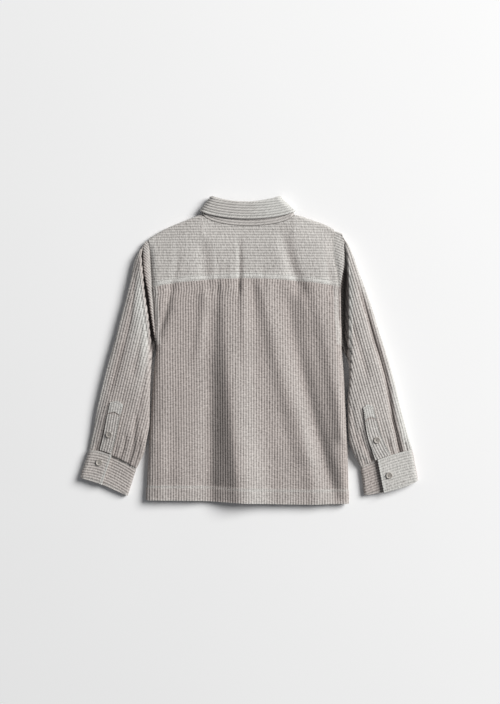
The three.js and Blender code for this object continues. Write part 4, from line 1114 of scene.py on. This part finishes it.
def make_fall():
    turn_half = (2 * DOUBLE + 1 + LAID_GAP) / 2
    under = (COLLAR_UNDER + DOUBLE) / 2
    roll = {**COLLAR["roll"], "y": COLLAR["roll"]["y"] + 3 * SEAM_GAP, "front": COLLAR["roll"]["front"] - 1.5}
    roll.update(top=NECK_HEIGHT - DOUBLE + turn_half, bottom=under)

    def turned(angle):
        out = -math.cos(angle)
        return {
            **roll, "half": roll["half"] + turn_half * out, "y": roll["y"] + turn_half * math.sin(angle),
            "top": roll["top"] + turn_half * out, "bottom": roll["bottom"] - under * out,
        }

    outside = turned(math.pi)
    edge = {**COLLAR["edge"], "top": outside["top"] - 0.3, "bottom": 0}
    lines = []
    for u in np.linspace(0, 1, 100):
        late = clamp((u - 0.26) / 0.74)
        ring = turned(math.pi * u / 0.26) if u < 0.26 else mix(outside, edge, late)
        lines.append(collar_line(ring, eased(260) * (math.pi - 0.03 - LEAF_END * late)))
    base = np.array(lines)
    up = along_columns(base)
    from_edge = up[-1:] - up
    phase = from_edge / PITCH
    height = wale(phase)
    shown = smooth((base[..., 2] - 9) / 2)
    line = np.exp(-(((from_edge - 5) / 1.2) ** 2))
    relief = (RISE * height * (1 - 0.6 * line) - 0.2 * line) * shown
    # Paler towards the right end, which faces the light: painted light
    obj, outer, normal = shell("collar_fall_cloth", base, relief, cloth_of(phase, along_rows(base), height), turn=-1, thick=DOUBLE, stride=(6, 6), wear_light_and_shade=0.65 + 0.4 * clamp(line) + 0.45 * smooth((base[..., 0] + 30) / 90))
    finish_cloth(obj, "collar_fall")
    rise = base + normal * 0.8
    rows_at, cols_at = [], np.linspace(4, 255, 300)
    for c in cols_at:
        column = from_edge[:, int(c)]
        rows_at.append(np.interp(-5, -column, np.arange(len(column))))
    rows_at = np.array(rows_at)
    line, up = sample(rise, rows_at, cols_at), sample(normal, rows_at, cols_at)
    keep = line[:, 2] > 12
    stitch_piece("collar_stitching", [(line[keep], up[keep])])


make_stand()
make_fall()


# Buttons: dished, with a rounded rim, four holes and crossed thread


def placed(points, place, up):
    up = np.array(up) / np.linalg.norm(up)
    side = np.cross([0, 1, 0], up)
    side /= np.linalg.norm(side)
    return np.array(points) @ np.array([side, np.cross(up, side), up]) + place


def make_button(node_name, place, up):
    profile = [
        (4.4, 0), (5.4, 0.35), (5.75, 0.9), (5.75, 1.5), (5.45, 2.0), (4.95, 2.2), (4.5, 2.1), (4.0, 1.6), (2.5, 1.45),
    ]
    count = 40
    points, faces = [(0, 0, 0)], []
    for r, z in profile:
        points += [(r * math.cos(2 * math.pi * i / count), r * math.sin(2 * math.pi * i / count), z) for i in range(count)]
    points.append((0, 0, profile[-1][1]))
    for i in range(count):
        j = (i + 1) % count
        faces.append((0, 1 + j, 1 + i))
        for k in range(len(profile) - 1):
            a = 1 + k * count
            faces.append((a + i, a + j, a + count + j, a + count + i))
        a = 1 + (len(profile) - 1) * count
        faces.append((a + i, a + j, len(points) - 1))
    obj = mesh_object(node_name + "_disc", placed(points, place, up), faces)
    ring = [(math.cos(i * math.pi / 6), math.sin(i * math.pi / 6)) for i in range(12)]
    for x, y in ((1, 1), (-1, 1), (-1, -1), (1, -1)):
        tube = [(1.15 * x + 0.75 * c, 1.15 * y + 0.75 * s, z) for z in (-1, 4) for c, s in ring]
        sides = [(i, (i + 1) % 12, 12 + (i + 1) % 12, 12 + i) for i in range(12)]
        sides += [tuple(range(11, -1, -1)), tuple(range(12, 24))]
        drill = mesh_object("drill", placed(tube, place, up), sides)
        cut = obj.modifiers.new("hole", "BOOLEAN")
        cut.operation, cut.object = "DIFFERENCE", drill
        bpy.context.view_layer.objects.active = obj
        bpy.ops.object.modifier_apply(modifier="hole")
        bpy.data.objects.remove(drill, do_unlink=True)
    obj.data.materials.append(BUTTON)
    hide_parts(node_name)
    points, faces = [], []
    for dx, dy in ((1, 1), (1, -1)):
        first = len(points)
        side = np.array([dy, -dx, 0]) / math.sqrt(2)
        for s in np.linspace(-1, 1, 9):
            middle = np.array([s * 1.15 * dx, s * 1.15 * dy, 1.45 + 0.35 * (1 - s * s)])
            points += [
                middle + 0.3 * (math.cos(a) * side + math.sin(a) * np.array([0, 0, 1]))
                for a in np.arange(6) * math.pi / 3
            ]
        for k in range(8):
            for i in range(6):
                j = (i + 1) % 6
                a = first + 6 * k
                faces.append((a + i, a + j, a + 6 + j, a + 6 + i))
        faces.append(tuple(first + i for i in range(5, -1, -1)))
        faces.append(tuple(first + 48 + i for i in range(6)))
    thread = mesh_object(node_name + "_thread", placed(points, place, up), faces)
    thread.data.materials.append(THREAD)


SLEEVE_BUTTONS = {
    "left": {"row": 11.9, "share": 0.31, "across": 24, "down": 0.36},
    "right": {"row": 11.5, "share": 0.55, "across": 50, "down": 0.55},
}


def make_sleeve_buttons(side):
    at, strip, shape = SLEEVE_BUTTONS[side], PLACKETS[side], CUFFS[side]
    corners = [
        sleeve_points(side, at["row"] + 0.05 * i, np.array([at["share"] + 0.01 * j]), True)[0]
        for i, j in ((0, 0), (0, 1), (1, 0))
    ]
    up = np.cross(corners[1] - corners[0], corners[2] - corners[0])
    up *= np.sign(up[2]) / np.linalg.norm(up)
    make_button(f"placket_button_{side}", corners[0] + up * (LAID_GAP + DOUBLE + 1.7), up)
    place = cuff_place(side, np.array([float(at["across"])]), at["down"])[0][0]
    z = CUFF_UPPER + shape["lift"] * float(smooth(at["across"] / shape["lap"])) + 1.4
    make_button(f"cuff_button_{side}", np.array([place[0], place[1], z]), (0, 0, 1))


for side in SIGN:
    make_sleeve_buttons(side)
for i in range(1, 7):
    for piece in bpy.data.objects:
        if piece.name.split(".")[0] == f"front_button_{i}":
            for place in piece.material_slots:
                place.material = BUTTON


# Floor, light and camera


def make_stage():
    bpy.ops.mesh.primitive_plane_add(size=6, location=(0, 0, -0.0003))
    floor = bpy.context.object
    floor.name = "floor"
    m, tree, shader = new_material("floor", 0.9)
    shader.inputs["Specular IOR Level"].default_value = 0.1
    place = node(tree, "ShaderNodeTexCoord").outputs["Object"]
    grain = node(tree, "ShaderNodeTexNoise", {"Vector": place, "Scale": 3.0}).outputs["Fac"]
    tree.links.new(ramp(tree, grain, [(0.0, (0.925, 0.928, 0.933)), (1.0, (0.945, 0.948, 0.953))]), shader.inputs["Base Color"])
    floor.data.materials.append(m)
    world = bpy.data.worlds.new("studio")
    world.use_nodes = True
    world.node_tree.nodes["Background"].inputs["Color"].default_value = (0.93, 0.96, 1.0, 1)
    world.node_tree.nodes["Background"].inputs["Strength"].default_value = 0.16
    bpy.context.scene.world = world


def area_light(name, place, aim, size, power, color):
    light = bpy.data.lights.new(name, "AREA")
    light.shape, light.size, light.energy, light.color = "DISK", size, power, color
    obj = bpy.data.objects.new(name, light)
    obj.location = place
    direction = np.array(aim) - np.array(place)
    flat = math.hypot(direction[0], direction[1])
    obj.rotation_euler = (math.atan2(flat, -direction[2]), 0, math.atan2(direction[1], direction[0]) - math.pi / 2)
    bpy.context.scene.collection.objects.link(obj)


def make_camera():
    camera = bpy.data.cameras.new("camera")
    camera.lens, camera.sensor_width = 85, 36
    height = 704 * 1.8 * MM * 85 / 36
    obj = bpy.data.objects.new("camera", camera)
    obj.location = ((250 - 249) * 1.8 * MM, (350.5 - 352) * 1.8 * MM, height)
    bpy.context.scene.collection.objects.link(obj)
    bpy.context.scene.camera = obj


make_stage()
area_light("key", (6.8, 3.7, 6.2), (0, 0, 0), 6.0, 1310, (1.0, 0.99, 0.975))
bpy.context.scene.view_settings.view_transform = "Standard"
make_camera()
